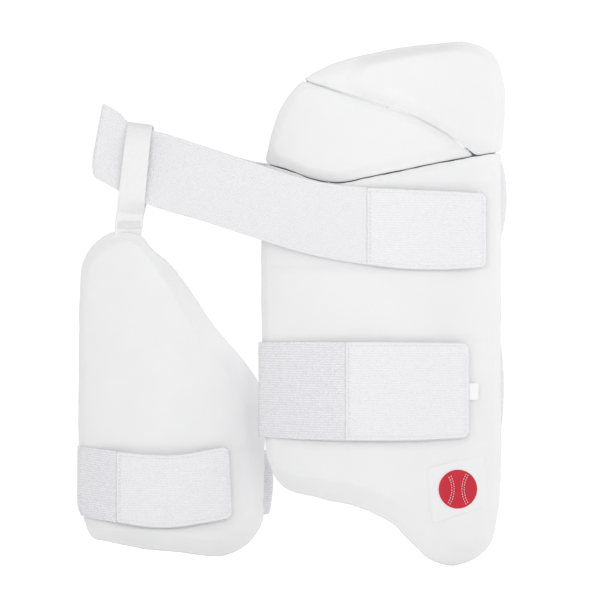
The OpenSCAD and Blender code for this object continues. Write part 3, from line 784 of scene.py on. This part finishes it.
def panel_outlines():
    """Outlines of the main, lower and upper panels, cut from the silhouette by the two seams."""
    gap = GROOVE/2
    x, z = silhouette[:, 0], silhouette[:, 1]
    over_long, over_crest = seam_z(long_seam, x), seam_z(crest_seam, x)
    main = closed_by(stretch_of(z < over_long - gap), lambda v: seam_z(long_seam, v) - gap)
    upper = closed_by(stretch_of(z > np.maximum(over_long, over_crest) + gap),
                      lambda v: np.maximum(seam_z(long_seam, v), seam_z(crest_seam, v)) + gap)
    # The lower hip panel is a wedge between both seams, which meet at its tip.
    edge = stretch_of((z > over_long + gap) & (z < over_crest - gap))
    xs = np.linspace(0, 90, 400)
    tip = xs[np.argmax(seam_z(crest_seam, xs) - gap < seam_z(long_seam, xs) + gap)]
    lower = np.vstack([
        edge,
        along_seam(lambda v: seam_z(long_seam, v) + gap, edge[-1][0], tip)[1:],
        along_seam(lambda v: seam_z(crest_seam, v) - gap, tip, edge[0][0])[1:-1]])
    return [rounded(resample(loop, 1.5, closed=True), 4) for loop in (main, lower, upper)]


MAIN_LOOP, LOWER_LOOP, UPPER_LOOP = panel_outlines()
INNER_LOOP = closed_curve(INNER_OUTLINE, 1.5)


def crisp(edge):
    """Two lines close to a crease, so that the face turns within a millimetre."""
    return [inset(edge, 0.5), inset(edge, -0.5)]


def bevelled(loop, flat, steepness, least, most=9.0):
    """Depth function of a moulded face: level inside the flat, sloping down from it to the loop."""
    loop = resample(loop, 2.0, closed=True)
    flat = closed_curve(flat, 2.0)

    def depth(xz):
        out, across = distance(xz, loop), distance(xz, flat)
        width = np.maximum(out + across, 1e-6)
        fall = np.clip(steepness*width, least, most)
        return fall*np.where(inside(xz, flat), 0, 1 - out/width)
    return depth, flat


# ---- Pads ----


LINER_IN, BINDING_IN, SEAM_IN = 3.2, 1.6, 3.6   # from the back's outline to the liner, tape and seam
BACK = 1.6                    # how far the liner starts inside the pad's full thickness
FACE_SINK = 0.4               # how far the covers' faces lie behind the pads' own cylinders
PRESSED = 0.9                 # how deep the straps press into the covers


def facing(y, count):
    """That many equal normals along Y."""
    return np.tile([0.0, y, 0.0], (count, 1))


def pad_pieces(name, loop, pad, body, depth, creases, nodes, liner_lines):
    """Cover, liner, binding and their stitching for one panel; nodes are the CAD solids of the first three.

    liner_lines are the quilting channels of the liner.
    """
    place = on_pad(pad)
    thick = pad["thick"]
    cover = panel(name + "_cover", loop, place, thick - 0.8, M_COVER, depth=depth, edge=1.8, spacing=2.2,
                  creases=creases, ease=0, wall_steps=6, pucker=0.35, draft=DRAFT)
    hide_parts(nodes[0])
    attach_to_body(cover, body)
    liner_loop = inset(loop, LINER_IN + DRAFT)
    liner_edge = resample(liner_loop, 2.0, closed=True)

    def quilt(xz):
        puff = 1.4*smoothstep(distance(xz, liner_edge)/9.0) - 0.5 + 0.25*ripple(xz[:, 0], xz[:, 1], 30.0, 11)
        for line in liner_lines:
            puff -= 1.5*np.exp(-(distance(xz, line, closed=False)/2.6)**2)
        return puff

    liner = panel(name + "_liner", liner_loop, lambda xz, d: place(xz, thick - BACK + d), 2.2, M_LINER,
                  back_depth=quilt, edge=0.8, spacing=2.6, ease=1, wall_steps=1)
    attach(liner, "liner", body, nodes[1])
    ring = place(inset(loop, BINDING_IN + DRAFT), np.full(len(loop), thick - 1.2))
    away = outward(loop)
    normals = unit_rows(np.column_stack([away[:, 0]*0.55, np.full(len(loop), 0.83), away[:, 1]*0.55]))
    tape = [(1.25*math.sin(a), 2.9*math.cos(a)) for a in np.radians(np.arange(0, 360, 30))]
    binding = ring_sweep(name + "_binding", ring, normals, tape, M_BINDING)
    attach(binding, "binding", body, *nodes[2:])
    seam_line = inset(loop, SEAM_IN + DRAFT)
    closed_seam = np.vstack([seam_line, seam_line[:1]])
    row = place(closed_seam, np.full(len(closed_seam), thick + 0.25))
    sewn = [(row, facing(1.0, len(row)))]
    for line in liner_lines:
        kept = line[inside(line, inset(loop, 8.0))]
        if len(kept) > 3:
            sewn.append((place(kept, np.full(len(kept), thick - 0.45)), facing(1.0, len(kept))))
    thread = stitches(name + "_liner_stitching", sewn, M_THREAD)
    attach(thread, "binding", body)


def foam_layer(name, loop, pad, body, start, end, node, depth=None, margin=5.0):
    """Plain inner layer between two depths; its front follows the cover where it meets it."""
    place = on_pad(pad)
    layer = panel(name, inset(loop, margin), lambda xz, d: place(xz, start + d), end - start, M_FOAM,
                  depth=depth, edge=1.0, spacing=5.0, ease=0, wall_steps=2)
    attach(layer, "foam", body, node)


def line_across(points):
    return resample(open_curve(points), 2.0)


def under_strap(z, low, high):
    """How deep a strap between those heights presses into a cover."""
    return PRESSED*smoothstep((z - low + 6)/6)*smoothstep((high + 6 - z)/6)


def make_outer_pads():
    main_depth, main_flat = bevelled(MAIN_LOOP, MAIN_FLAT, 0.6, 3.2)

    def main_face(xz):
        x, z = xz[:, 0], xz[:, 1]
        d = main_depth(xz)
        d += 0.35*ripple(x, z, 60.0, 3) + 0.12*ripple(x, z, 17.0, 4)
        return d + under_strap(z, -36.5, 39.5) + under_strap(z, 98, 157) + FACE_SINK

    channels = [line_across([(-80, 120), (0, 124), (80, 120)]), line_across([(-80, 46), (0, 50), (80, 46)]),
                line_across([(-78, -28), (0, -24), (80, -28)])]
    pad_pieces("outer_pad", MAIN_LOOP, OUTER, "outer_pad", main_face, crisp(main_flat),
               ["outer_front_cover", "outer_liner", "outer_edge_binding"], channels)
    foam_layer("outer_front_foam", MAIN_LOOP, OUTER, "outer_pad", 2.4, 9.0, "outer_foam_core",
               lambda xz: np.minimum(main_depth(xz), 5.4), margin=9.0)
    foam_layer("outer_rear_foam", MAIN_LOOP, OUTER, "outer_pad", 11.2, 22.4, "outer_comfort_foam")

    lower_depth, lower_flat = bevelled(LOWER_LOOP, HIP_LOWER_FLAT, 0.42, 2.2, 5.0)

    def lower_face(xz):
        return lower_depth(xz) + 0.3*ripple(xz[:, 0], xz[:, 1], 45.0, 6) + FACE_SINK

    pad_pieces("hip_lower", LOWER_LOOP, OUTER, "hip_lower", lower_face, crisp(lower_flat),
               ["hip_lower_cover", "hip_lower_liner"],
               [line_across([(-62, 210), (-20, 200), (30, 190)])])
    foam_layer("hip_lower_foam", LOWER_LOOP, OUTER, "hip_lower", 6.5, 22.4, "hip_lower_foam")

    facet = closed_curve(FACET, 2.0)
    foot = inset(facet, -11.0)
    upper_edge = resample(UPPER_LOOP, 2.0, closed=True)

    def upper_face(xz):
        """A raised facet with a slope round it, which is wider on the side of the crest seam."""
        rim = 3.0*(1 - smoothstep(distance(xz, upper_edge)/9.0))
        away = np.where(inside(xz, facet), 0, distance(xz, facet))
        low_side = smoothstep((250 - 0.42*xz[:, 0] - xz[:, 1])/30)
        run = 8.5 + 4.0*low_side
        raised = 4.0*np.clip(1 - away/run, 0, 1)
        return rim + FACE_SINK - raised*smoothstep(distance(xz, upper_edge)/5.0) \
            + 0.25*ripple(xz[:, 0], xz[:, 1], 45.0, 8)

    pad_pieces("hip_upper", UPPER_LOOP, OUTER, "hip_upper", upper_face, crisp(facet) + [foot],
               ["hip_upper_cover", "hip_upper_liner"],
               [line_across([(-10, 246), (35, 232), (84, 214)])])
    foam_layer("hip_upper_foam", UPPER_LOOP, OUTER, "hip_upper", 5.5, 22.4, "hip_upper_foam")


def make_inner_pad():
    inner_depth, flat = bevelled(INNER_LOOP, INNER_FLAT, 0.62, 3.2, 8.0)

    def face(xz):
        x, z = xz[:, 0], xz[:, 1]
        d = inner_depth(xz) + 0.3*ripple(x, z, 50.0, 13) + 0.1*ripple(x, z, 15.0, 14)
        return d + under_strap(z, -102, -46) + FACE_SINK

    pad_pieces("inner_pad", INNER_LOOP, INNER, "inner_pad", face, crisp(flat),
               ["inner_front_cover", "inner_liner", "inner_edge_binding"],
               [line_across([(-226, 40), (-180, 44), (-138, 40)]),
                line_across([(-226, -34), (-160, -30), (-96, -34)])])
    foam_layer("inner_front_foam", INNER_LOOP, INNER, "inner_pad", 2.4, 7.0, "inner_foam_core",
               lambda xz: np.minimum(inner_depth(xz), 3.6), margin=9.0)
    foam_layer("inner_rear_foam", INNER_LOOP, INNER, "inner_pad", 9.2, 18.4, "inner_comfort_foam")


make_outer_pads()
make_inner_pad()

for shield in ("outer_shield_plate", "inner_shield_plate"):
    shield_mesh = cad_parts[shield].data
    shield_mesh.materials.clear()
    shield_mesh.materials.append(M_SHIELD)

# ---- Gussets in the grooves ----


GUSSET_HALF = 5.0             # half of a gusset's width
GUSSET_T = 0.9


def gusset(name, seam_part, node, material, depth, sag):
    """Strip of fabric that bridges a groove near the back, and again at a depth behind the face."""
    part = resample(np.asarray(seam_part, float), 3.0)
    d = unit(part[-1] - part[0])
    up2 = np.array([-d[1], d[0]])
    if up2[1] < 0:
        up2 = -up2
    across = np.linspace(-GUSSET_HALF, GUSSET_HALF, 9)
    section = [(t, 0.0) for t in across] + [(t, GUSSET_T) for t in across[::-1]]
    verts, faces, uv = [], [], []
    x = part[:, 0]
    for level, hang in ((depth(x), sag), (np.full(len(x), 21.5), -0.7)):
        base = len(verts)
        for t, side in section:
            p = part + up2*t
            y = face_y(OUTER, x) + level + side + hang*(1 - (t/GUSSET_HALF)**2)
            verts += np.column_stack([p[:, 0], y, p[:, 1]]).tolist()
            uv += np.column_stack([x, np.full(len(part), t)]).tolist()
        faces += [tuple(base + v for v in face) for face in tube_faces(len(part), len(section))]
    obj = new_object(name, np.array(verts), faces, material, np.array(uv))
    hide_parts(node)
    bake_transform(obj)


def seam_piece(seam, x0, x1):
    x = np.linspace(x0, x1, 30)
    return np.column_stack([x, seam_z(seam, x)])


def long_depth(x):
    return np.full(len(x), 13.0)


def crest_depth(x):
    """The crest seam is open at its left end and nearly closed in its middle and at its right end."""
    return np.interp(x, [-58, -36, -14, 14, 30, 52, 64], [6.0, 5.2, 4.1, 4.0, 4.8, 5.2, 4.3])


def end_depth(x):
    """Behind both grooves, where the crest seam runs into the long seam."""
    return np.full(len(x), 18.0)


for side, x0, x1 in (("left", -86, -42), ("right", -40, 88)):
    gusset("hip_gusset_" + side, seam_piece(long_seam, x0, x1), "hip_gusset",
           M_GUSSET, long_depth, 1.2)
for side, x0, x1 in (("left", -57, 4), ("right", 4, 65)):
    gusset("crest_gusset_" + side, seam_piece(crest_seam, x0, x1), "crest_gusset",
           M_COVER, crest_depth, 0.2)
gusset("crest_gusset_end", seam_piece(crest_seam, 56, 74), "crest_gusset",
       M_GUSSET, end_depth, 0.2)

# ---- Straps ----

TAB_OFF = 3.1                 # inner face of a tab above the pad's face
TAB_T = 1.8
STRAP_T = 1.6
HEM_IN = 3.2                  # from a tab's edge to the stitches of its hem


def front_arc(pad, x0, x1, off0, off1):
    """Path over the pad's face, rising from off0 to off1 in front of it."""
    a0 = math.asin((x0 - pad["cx"])/(pad["r"] + off0))
    a1 = math.asin((x1 - pad["cx"])/(pad["r"] + off1))
    s = np.linspace(0, 1, max(3, int(abs(a1 - a0)*pad["r"]/2.5)))
    a, d = a0 + (a1 - a0)*s, off0 + (off1 - off0)*smoothstep(s)
    cy = pad["r"] - pad["reach"]
    return np.column_stack([pad["cx"] + (pad["r"] + d)*np.sin(a), cy - (pad["r"] + d)*np.cos(a)])


def back_arc(pad, x0, x1, off):
    """Path over the pad's hollow back, off behind it."""
    r = pad["r"] - off
    a = np.linspace(math.asin((x0 - pad["cx"])/r), math.asin((x1 - pad["cx"])/r), 10)
    cy = pad["r"] - pad["reach"] + pad["thick"]
    return np.column_stack([pad["cx"] + r*np.sin(a), cy - r*np.cos(a)])


FOLD = np.array([-216.7, 14.0])   # X and Y of the middle of the belt's fold
FOLD_R = 3.0


def belt_path():
    """Inner face of the belt from its sewn end, round the back to the fold, and over the front to the tab."""
    centre = np.array([0.0, OUTER["r"] - OUTER["reach"]])
    radius = OUTER["r"] + TAB_OFF
    # The belt runs straight from the fold's circle to the pad's; n is the normal of that straight run.
    d = centre - FOLD
    turn = math.atan2(d[1], d[0]) - math.acos((FOLD_R - radius)/np.linalg.norm(d))
    n = np.array([math.cos(turn), math.sin(turn)])
    back = np.vstack([
        back_arc(OUTER, 70, 86.5, 3.0),
        open_curve([(91.4, 10.8), (95.4, 17), (94.8, 23.5), (88, 29), (74, 31.5), (20, 34), (-60, 30),
                    (-150, 20.5), (-190, 17.5), (-212.7, 17)], 12),
        arc(FOLD[0], FOLD[1], FOLD_R, 90, 180, 12)])
    front = np.vstack([
        arc(FOLD[0], FOLD[1], FOLD_R, 192, math.degrees(turn) + 360, 12),
        np.linspace(FOLD + FOLD_R*n + 6*np.array([-n[1], n[0]]), centre + radius*n, 60),
        front_arc(OUTER, (centre + radius*n)[0] + 2, -11.0, TAB_OFF, TAB_OFF)])
    return back, front


def table_at(table, x):
    """Height of a strap's edge at x, from a table of (x, height)."""
    smooth = open_curve(table, 6)
    return np.interp(x, smooth[:, 0], smooth[:, 1])


def turned_corner(x, r):
    """Rise of a strap's lower edge as it turns round its leftmost end."""
    near = np.clip(x - x.min(), 0, r)
    return r - np.sqrt(r*r - (r - near)**2)


def right_turn(x):
    """How far a strap has turned at its rightmost end, where its edges are drawn in."""
    return smoothstep((x - x.max() + 9)/8)


def make_belt():
    back, front = belt_path()
    path = resample(np.vstack([back, front]), 2.2)
    fold_at = int(np.argmin(path[:, 0]))
    x = path[:, 0]
    on_back = np.arange(len(path)) <= fold_at
    lean = 5.0*np.clip((-165 - x)/45, 0, 1)
    low = np.where(on_back, table_at(BELT_BACK_LOW, x - lean), table_at(BELT_LOW, x - lean))
    high = np.where(on_back, table_at(BELT_BACK_HIGH, x + lean), table_at(BELT_HIGH, x + lean))
    low = low + turned_corner(x, 2.4)

    def wave(s, v):
        """Slow curl and sag, less near the tab; both edges cup at the right turn, one at the fold."""
        curl = 0.5*np.sin(s/19.0)*v + 0.35*np.sin(s/31.0 + 1.3)*(1 - v*v)
        return curl*smoothstep((x + 250)/40)*np.where(x > -45, 0.25, 1.0) - 3.6*v*v*right_turn(x) \
            - 2.2*np.clip(-v, 0, 1)**4*smoothstep((x.min() + 3.5 - x)/3)

    belt = strap("waist_belt", path, low, high, STRAP_T, M_BELT, 30, lean, wave)
    attach(belt, "elastic", "outer_pad", "waist_belt")


def make_level_strap(name, path, edges, back_edges, body, corner):
    """Strap round a pad; its path turns from the back to the face at its lowest X.

    corner is how far the strap's lower edge cups in at that turn.
    """
    path = resample(path, 2.2)
    x = path[:, 0]
    on_face = np.arange(len(path)) > int(np.argmin(x))

    def wave(s, v):
        """Slight waves away from the ends; both edges cup at the right turn, one at the left."""
        ends = smoothstep(s/20)*smoothstep((s[-1] - s)/20)
        return ends*(0.35*np.sin(s/23.0 + v) + 0.3*np.sin(s/13.0)*v) - 2.6*v*v*right_turn(x) \
            - corner*np.clip(-v, 0, 1)**6*smoothstep((x.min() + 6 - x)/5)

    low = np.where(on_face, table_at(edges[0], x), table_at(back_edges[0], x))
    high = np.where(on_face, table_at(edges[1], x), table_at(back_edges[1], x))
    obj = strap(name, path, low, high, STRAP_T, M_ELASTIC, 30, wave=wave)
    attach(obj, "elastic", body, name)


THIGH_PATH = np.vstack([
    back_arc(OUTER, 70, 85.5, 3.0),
    open_curve([(90.2, 9.6), (93, 15), (91, 21.5), (82, 26), (50, 30), (0, 32.5), (-50, 28), (-78, 20),
                (-89, 13), (-93.4, 5.5), (-93.9, -4), (-93.8, -14.4)], 12),
    front_arc(OUTER, -91.4, -27.5, 0.4, TAB_OFF)])
INNER_PATH = np.vstack([
    back_arc(INNER, -106, -96.5, 3.0),
    open_curve([(-91.5, 49.6), (-86.4, 54.5), (-86.2, 60), (-93, 64), (-125, 70), (-163, 73), (-200, 70),
                (-225.5, 62.5), (-232.4, 56.5), (-234.4, 49.5), (-234.6, 40), (-234.5, 32.4)], 12),
    front_arc(INNER, -232.4, -204.5, 0.4, TAB_OFF)])


def rounded_box(x0, x1, z0, z1, r, left_r=None):
    """Anticlockwise rectangle with round corners, which may be smaller on its left."""
    q = r if left_r is None else left_r
    corners = [(x1 - r, z1 - r, 0, r), (x0 + q, z1 - q, 90, q),
               (x0 + q, z0 + q, 180, q), (x1 - r, z0 + r, 270, r)]
    return np.vstack([arc(cx, cz, size, a, a + 90, 12) for cx, cz, a, size in corners])


def make_tab(name, pad, x0, x1, edges, body, tab_body, nodes, slant=0.0):
    """Terry tab sewn to its strap along x0, with a turned and stitched border, and a hook pad behind it."""
    z0, z1 = edges[0][0][1], edges[1][0][1]
    loop = resample(rounded_box(x0 - 1.5, x1, z0, z1, 5.0, 0.8), 1.2, closed=True)
    share = (loop[:, 1] - z0)/(z1 - z0)
    low, high = table_at(edges[0], loop[:, 0]), table_at(edges[1], loop[:, 0])
    loop[:, 1] = low + (high - low)*share
    loop[:, 0] += slant*share*smoothstep((loop[:, 0] - x0)/(x1 - x0))
    place = on_pad(pad, TAB_OFF + TAB_T + 0.35)
    edge = resample(loop, 2.0, closed=True)

    def face(xz):
        """A hem sunk in where it is stitched, round a slightly puffed middle."""
        near = distance(xz, edge)
        border = 0.35*smoothstep((near - 4.5)/1.0)
        seam = 0.45*np.exp(-((near - HEM_IN)/0.7)**2) + 0.15*np.exp(-((xz[:, 0] - x0 - 0.8)/0.7)**2)
        return border + seam - 0.35*smoothstep((near - 5)/8.0) + 0.12*ripple(xz[:, 0], xz[:, 1], 11.0, 21)

    tab = panel(name, loop, place, TAB_T, M_TAB, depth=face, edge=0.7, spacing=1.6, ease=1, wall_steps=1)
    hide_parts(nodes[0])
    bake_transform(tab)
    # One row of stitches along the border, and one along the seam
    stitch_loop = inset(resample(loop, 1.5, closed=True), HEM_IN)
    ring = np.vstack([stitch_loop, stitch_loop[:1]])
    kept = ring[:, 0] > x0 + 0.5
    order = np.roll(np.arange(len(ring)), -int(np.argmax(~kept)))
    ring = ring[order][kept[order]]
    border_rows = [(place(ring, np.full(len(ring), 0.25)), pad_normals(pad, ring[:, 0]))]
    thread = stitches(name + "_stitching", border_rows, M_THREAD)
    attach(thread, "tab_terry", tab_body)
    seam_line = np.column_stack([np.full(40, x0 + 0.8), np.linspace(z0 + 1.5, z1 - 1.5, 40)])
    seam_rows = [(place(seam_line, np.full(40, 0.3)), pad_normals(pad, seam_line[:, 0]))]
    seam = stitches(name + "_seam_stitching", seam_rows, M_THREAD)
    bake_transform(seam)
    inner_low, inner_high = max(z for _, z in edges[0]) + 6, min(z for _, z in edges[1]) - 6
    hook_loop = rounded_box(x0 + 6, x1 - 6, inner_low, inner_high, 4.0)
    attach(patch(nodes[1], hook_loop, pad, 3.0, 1.2, M_HOOK), "hook", tab_body, nodes[1])
    attach(patch(nodes[2], hook_loop, pad, 1.4, 1.8, M_LOOP), "loop", body, nodes[2])


def pad_normals(pad, x):
    """Outward unit normals of the pad's face."""
    s = (x - pad["cx"])/pad["r"]
    return np.column_stack([s, -np.sqrt(1 - s*s), np.zeros_like(s)])


make_belt()
make_level_strap("thigh_strap", THIGH_PATH, THIGH_EDGES, THIGH_BACK_EDGES, "outer_pad", 0.0)
make_level_strap("inner_strap", INNER_PATH, INNER_EDGES, INNER_BACK_EDGES, "inner_pad", 3.0)
make_tab("waist_tab", OUTER, -10.5, 81, WAIST_TAB_EDGES, "outer_pad", "waist_tab",
         ["waist_tab", "waist_hook_pad", "waist_loop_patch"])
make_tab("thigh_tab", OUTER, -27, 67.5, THIGH_EDGES, "outer_pad", "thigh_tab",
         ["thigh_tab", "thigh_hook_pad", "thigh_loop_patch"])
make_tab("inner_tab", INNER, -204, -115, INNER_EDGES, "inner_pad", "inner_tab",
         ["inner_tab", "inner_hook_pad", "inner_loop_patch"], slant=-3.0)


def make_anchor(name, pad, x0, x1, low, high, body):
    """Reinforcing patch sewn over a strap's end on the pad's back; low is its lower edge at x0 and x1."""
    path = resample(back_arc(pad, x0, x1, 1.3), 2.0)
    lows = np.linspace(low[0], low[1], len(path))
    highs = np.full(len(path), float(high))
    obj = strap(name, path, lows, highs, 1.2, M_BINDING, 12)
    attach(obj, "liner", body, name)


make_anchor("waist_belt_anchor", OUTER, 58, 90, (92, 60), 178, "outer_pad")
make_anchor("thigh_strap_anchor", OUTER, 62, 88, (-40.5, -40.5), 43.5, "outer_pad")
make_anchor("inner_strap_anchor", INNER, -112, -96, (-105.5, -105.5), -42.5, "inner_pad")

# ---- Badge, label ----

BALL_R = 15.0


def make_badge():
    """Square film patch with the plain motif of a ball that has two stitched seams."""
    corners = np.array([(38.5, -101), (81.6, -87), (78, -48.5), (34.6, -57)], float)
    film_loop = rounded(resample(corners, 1.0, closed=True), 12)
    film = patch("badge_patch", film_loop, OUTER, 0.35, 1.6, M_BADGE, spacing=2.5)
    attach(film, "badge", "outer_pad", "badge_patch")
    centre = np.array([58.5, -74.0])
    turn = np.radians(np.arange(0, 360, 5))
    disc = centre + BALL_R*np.column_stack([np.cos(turn), np.sin(turn)])
    ball = patch("badge_motif", disc, OUTER, 0.75, 0.6, M_MOTIF, 0.25, 2.0)
    attach(ball, "motif", "outer_pad", "badge_motif")
    a = np.radians(np.linspace(-33, 33, 40))
    lines = []
    for side in (-1, 1):
        for bow in (20.2, 22.0):
            x = side*(25.0 - bow*np.cos(a))
            z = bow*np.sin(a)
            row = centre + np.column_stack([x, z])[np.hypot(x, z) < BALL_R - 1]
            lines.append((on_pad(OUTER, 0.78)(row, np.zeros(len(row))), pad_normals(OUTER, row[:, 0])))
    seam = stitches("badge_motif_seam", lines, M_THREAD, pitch=2.0, length=1.3, radius=0.3)
    attach(seam, "badge", "outer_pad")


def make_label():
    """Blank label, sewn into the tab and lifting at its free end."""
    label = patch("care_label", rounded_box(62, 74.5, -5.5, 7.5, 0.8), OUTER, 3.0, 0.6, M_LABEL, 0.25, 1.5,
                  lambda xz: 0.9*smoothstep((xz[:, 0] - 68)/8) + 0.1*np.sin(xz[:, 1]/2.0))
    attach(label, "label", "thigh_tab", "care_label")


make_badge()
make_label()

# ---- Carrier webbing ----

WEB_W, WEB_T = 20.0, 1.4
WEB_X, WEB_LEAN = -196.5, 0.111   # the webbing's middle at the neck, and how far it leans per mm of height
SWING_Z, NECK_Z, LOOP_TOP = 133.0, 123.0, 206.3      # heights of both hinge lines and of the loop's top
LOOP_Y, LOOP_FRONT, LOOP_BACK = 11.0, -3.2, 23.0     # Y of the tail, and of the loop's two plies
PLY_END = NECK_Z + 4.2        # lower end of both plies of the loop


def opened(z):
    """0 where the loop's two plies lie together, 1 where they stand apart round the belt."""
    return np.interp(z, [SWING_Z + 4, SWING_Z + 16], [0, 1])


def to_back(y):
    """0 on the loop's front ply, 1 on its back ply."""
    return np.interp(y, [LOOP_FRONT, LOOP_BACK], [0, 1])


def webbing_x(y, z):
    """X of the webbing's middle; behind the belt it lies a little further right."""
    return WEB_X + (z - NECK_Z)*WEB_LEAN + 1.5*opened(z)*to_back(y)


def ribbon(name, centres, outs, turns, width, thick, material):
    """Webbing along centres in space; outs are its outward normals and turns its width directions."""
    n = len(centres)
    half = width/2
    r = thick/2
    u = np.linspace(-1, 1, 11)
    bend = half_round(r, 5)
    section = [(v*(half - r), thick) for v in u] + [(half - r + a, b) for a, b in bend]
    section += [(v*(half - r), 0.0) for v in u[::-1]] + [(r - half - a, thick - b) for a, b in bend]
    s = travel(centres)
    verts = np.vstack([centres + turns*a + outs*b for a, b in section])
    uv = np.vstack([np.column_stack([s, np.full(n, a)]) for a, b in section])
    return new_object(name, verts, tube_faces(n, len(section)), material, uv)


def make_carrier():
    gap = WEB_T/2 + 0.25
    side = resample(open_curve([
        (LOOP_Y - gap, PLY_END), (LOOP_Y - gap, SWING_Z + 2), (LOOP_Y - gap - 0.8, SWING_Z + 5.5),
        (4.2, SWING_Z + 10.5), (-1.2, SWING_Z + 16.5), (LOOP_FRONT, SWING_Z + 24), (LOOP_FRONT, LOOP_TOP - 3),
        (LOOP_FRONT + 2.4, LOOP_TOP - 0.4), (LOOP_Y, LOOP_TOP), (LOOP_BACK - 2.4, LOOP_TOP - 0.4),
        (LOOP_BACK, LOOP_TOP - 3), (LOOP_BACK, SWING_Z + 15), (18.5, SWING_Z + 9.5),
        (LOOP_Y + gap + 0.6, SWING_Z + 5), (LOOP_Y + gap, SWING_Z + 2), (LOOP_Y + gap, PLY_END)], 10), 1.5)
    y, z = side[:, 0], side[:, 1]
    tangent = unit_rows(np.gradient(side, axis=0))
    outs = np.column_stack([np.zeros(len(side)), -tangent[:, 1], tangent[:, 0]])
    narrow = np.interp(z, [PLY_END, SWING_Z + 5, SWING_Z + 16, LOOP_TOP], [1.07, 1.07, 1.05, 0.96])
    slope = opened(z)*(-0.32 + 0.40*to_back(y))
    turns = np.column_stack([np.ones(len(side)), slope, -0.13*opened(z)])*narrow[:, None]
    centres = np.column_stack([webbing_x(y, z), y, z])
    loop = ribbon("carrier_loop", centres, outs, turns, WEB_W, WEB_T, M_WEBBING)
    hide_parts("carrier_loop")
    bend = dict(start=(webbing_x(LOOP_Y, SWING_Z)*MM, LOOP_Y*MM, (SWING_Z + 5)*MM),
                end=(webbing_x(LOOP_Y, SWING_Z)*MM, LOOP_Y*MM, (SWING_Z - 5)*MM))
    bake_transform(loop)
    z = np.linspace(SWING_Z + 4, NECK_Z - 7, 30)
    centres = np.column_stack([webbing_x(np.full(30, LOOP_Y), z), np.full(30, LOOP_Y - WEB_T/2), z])
    tail = ribbon("carrier_tail", centres[::-1], facing(1.0, 30), np.tile([1.0, 0.0, 0.0], (30, 1)),
                  WEB_W + 1.0, WEB_T, M_WEBBING)
    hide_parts("carrier_tail")
    x = webbing_x(LOOP_Y, NECK_Z)
    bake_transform(tail)
    x = np.linspace(-WEB_W/2 + 1, WEB_W/2 - 1, 24)
    rows = []
    for at in PLY_END + 0.9 + 1.15*np.arange(5):
        row = [webbing_x(LOOP_Y, at) + x, np.full(24, LOOP_Y - gap - WEB_T), np.full(24, at)]
        rows.append((np.column_stack(row), facing(-1.0, 24)))
    tack = stitches("carrier_bar_tack", rows, M_THREAD, pitch=1.5, length=1.3, radius=0.34)
    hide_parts("carrier_bar_tack")
    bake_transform(tack)


make_carrier()

# ---- Stage: places and sizes in metres, power in watts ----

AMBIENT = 0.626               # strength of the even light from all round
BACKDROP = 1.05               # strength of the white that the camera sees
BOUNCE = 0.96                 # how much light the floor gives back
FLOOR_R = 1500.0
LIT_POINT = (-0.05, 0, 0.07)


def camera_only(tree, shown, lit, out):
    """Camera rays meet the shown shader, and all other light meets the lit one."""
    mix = tree.nodes.new("ShaderNodeMixShader")
    path = tree.nodes.new("ShaderNodeLightPath")
    tree.links.new(path.outputs["Is Camera Ray"], mix.inputs["Fac"])
    tree.links.new(lit, mix.inputs[1])
    tree.links.new(shown, mix.inputs[2])
    tree.links.new(mix.outputs[0], out.inputs["Surface"])


def make_floor():
    floor_z = cad_box[0][2] - 0.002
    verts = [(x*FLOOR_R, y*FLOOR_R, floor_z/MM) for x, y in arc(0, 0, 1, 0, 355, 5)]
    g = Graph("stage_floor")
    for socket, value in (("Base Color", (0.9, 0.9, 0.9, 1)), ("Roughness", 0.9), ("Specular IOR Level", 0.1),
                          ("Emission Color", (1, 1, 1, 1)), ("Emission Strength", 0.5)):
        g.shader.inputs[socket].default_value = value
    bounce = g.add("ShaderNodeBsdfDiffuse", Color=(BOUNCE, BOUNCE, BOUNCE, 1))
    camera_only(g.tree, g.shader.outputs[0], bounce.outputs[0], g.out)
    floor = new_object("stage_floor", verts, [tuple(range(len(verts)))], g.material)


def make_world():
    world = bpy.data.worlds.new("studio")
    bpy.context.scene.world = world
    world.use_nodes = True
    tree = world.node_tree
    tree.nodes.clear()
    out = tree.nodes.new("ShaderNodeOutputWorld")
    ambient = tree.nodes.new("ShaderNodeBackground")
    seen = tree.nodes.new("ShaderNodeBackground")
    ambient.inputs["Strength"].default_value = AMBIENT
    seen.inputs["Strength"].default_value = BACKDROP
    for shade in (ambient, seen):
        shade.inputs["Color"].default_value = (1, 1, 1, 1)
    camera_only(tree, seen.outputs[0], ambient.outputs[0], out)


def area_light(name, place, size, watts):
    data = bpy.data.lights.new(name, "AREA")
    data.size = size
    data.energy = watts
    light = bpy.data.objects.new(name, data)
    bpy.context.scene.collection.objects.link(light)
    light.location = place
    light.rotation_mode = "QUATERNION"
    light.rotation_quaternion = (Vector(LIT_POINT) - Vector(place)).to_track_quat("-Z", "Y")
    light.visible_camera = False


make_floor()
make_world()
area_light("front", (0.0, -2.6, -0.15), 2.4, 48.5)
area_light("side_right", (2.2, 0.9, 0.8), 1.2, 19)
area_light("side_left", (-2.2, 0.3, 0.6), 1.2, 5)
area_light("back", (-1.0, 2.4, 1.4), 1.6, 12)
bpy.context.scene.view_settings.view_transform = "Standard"
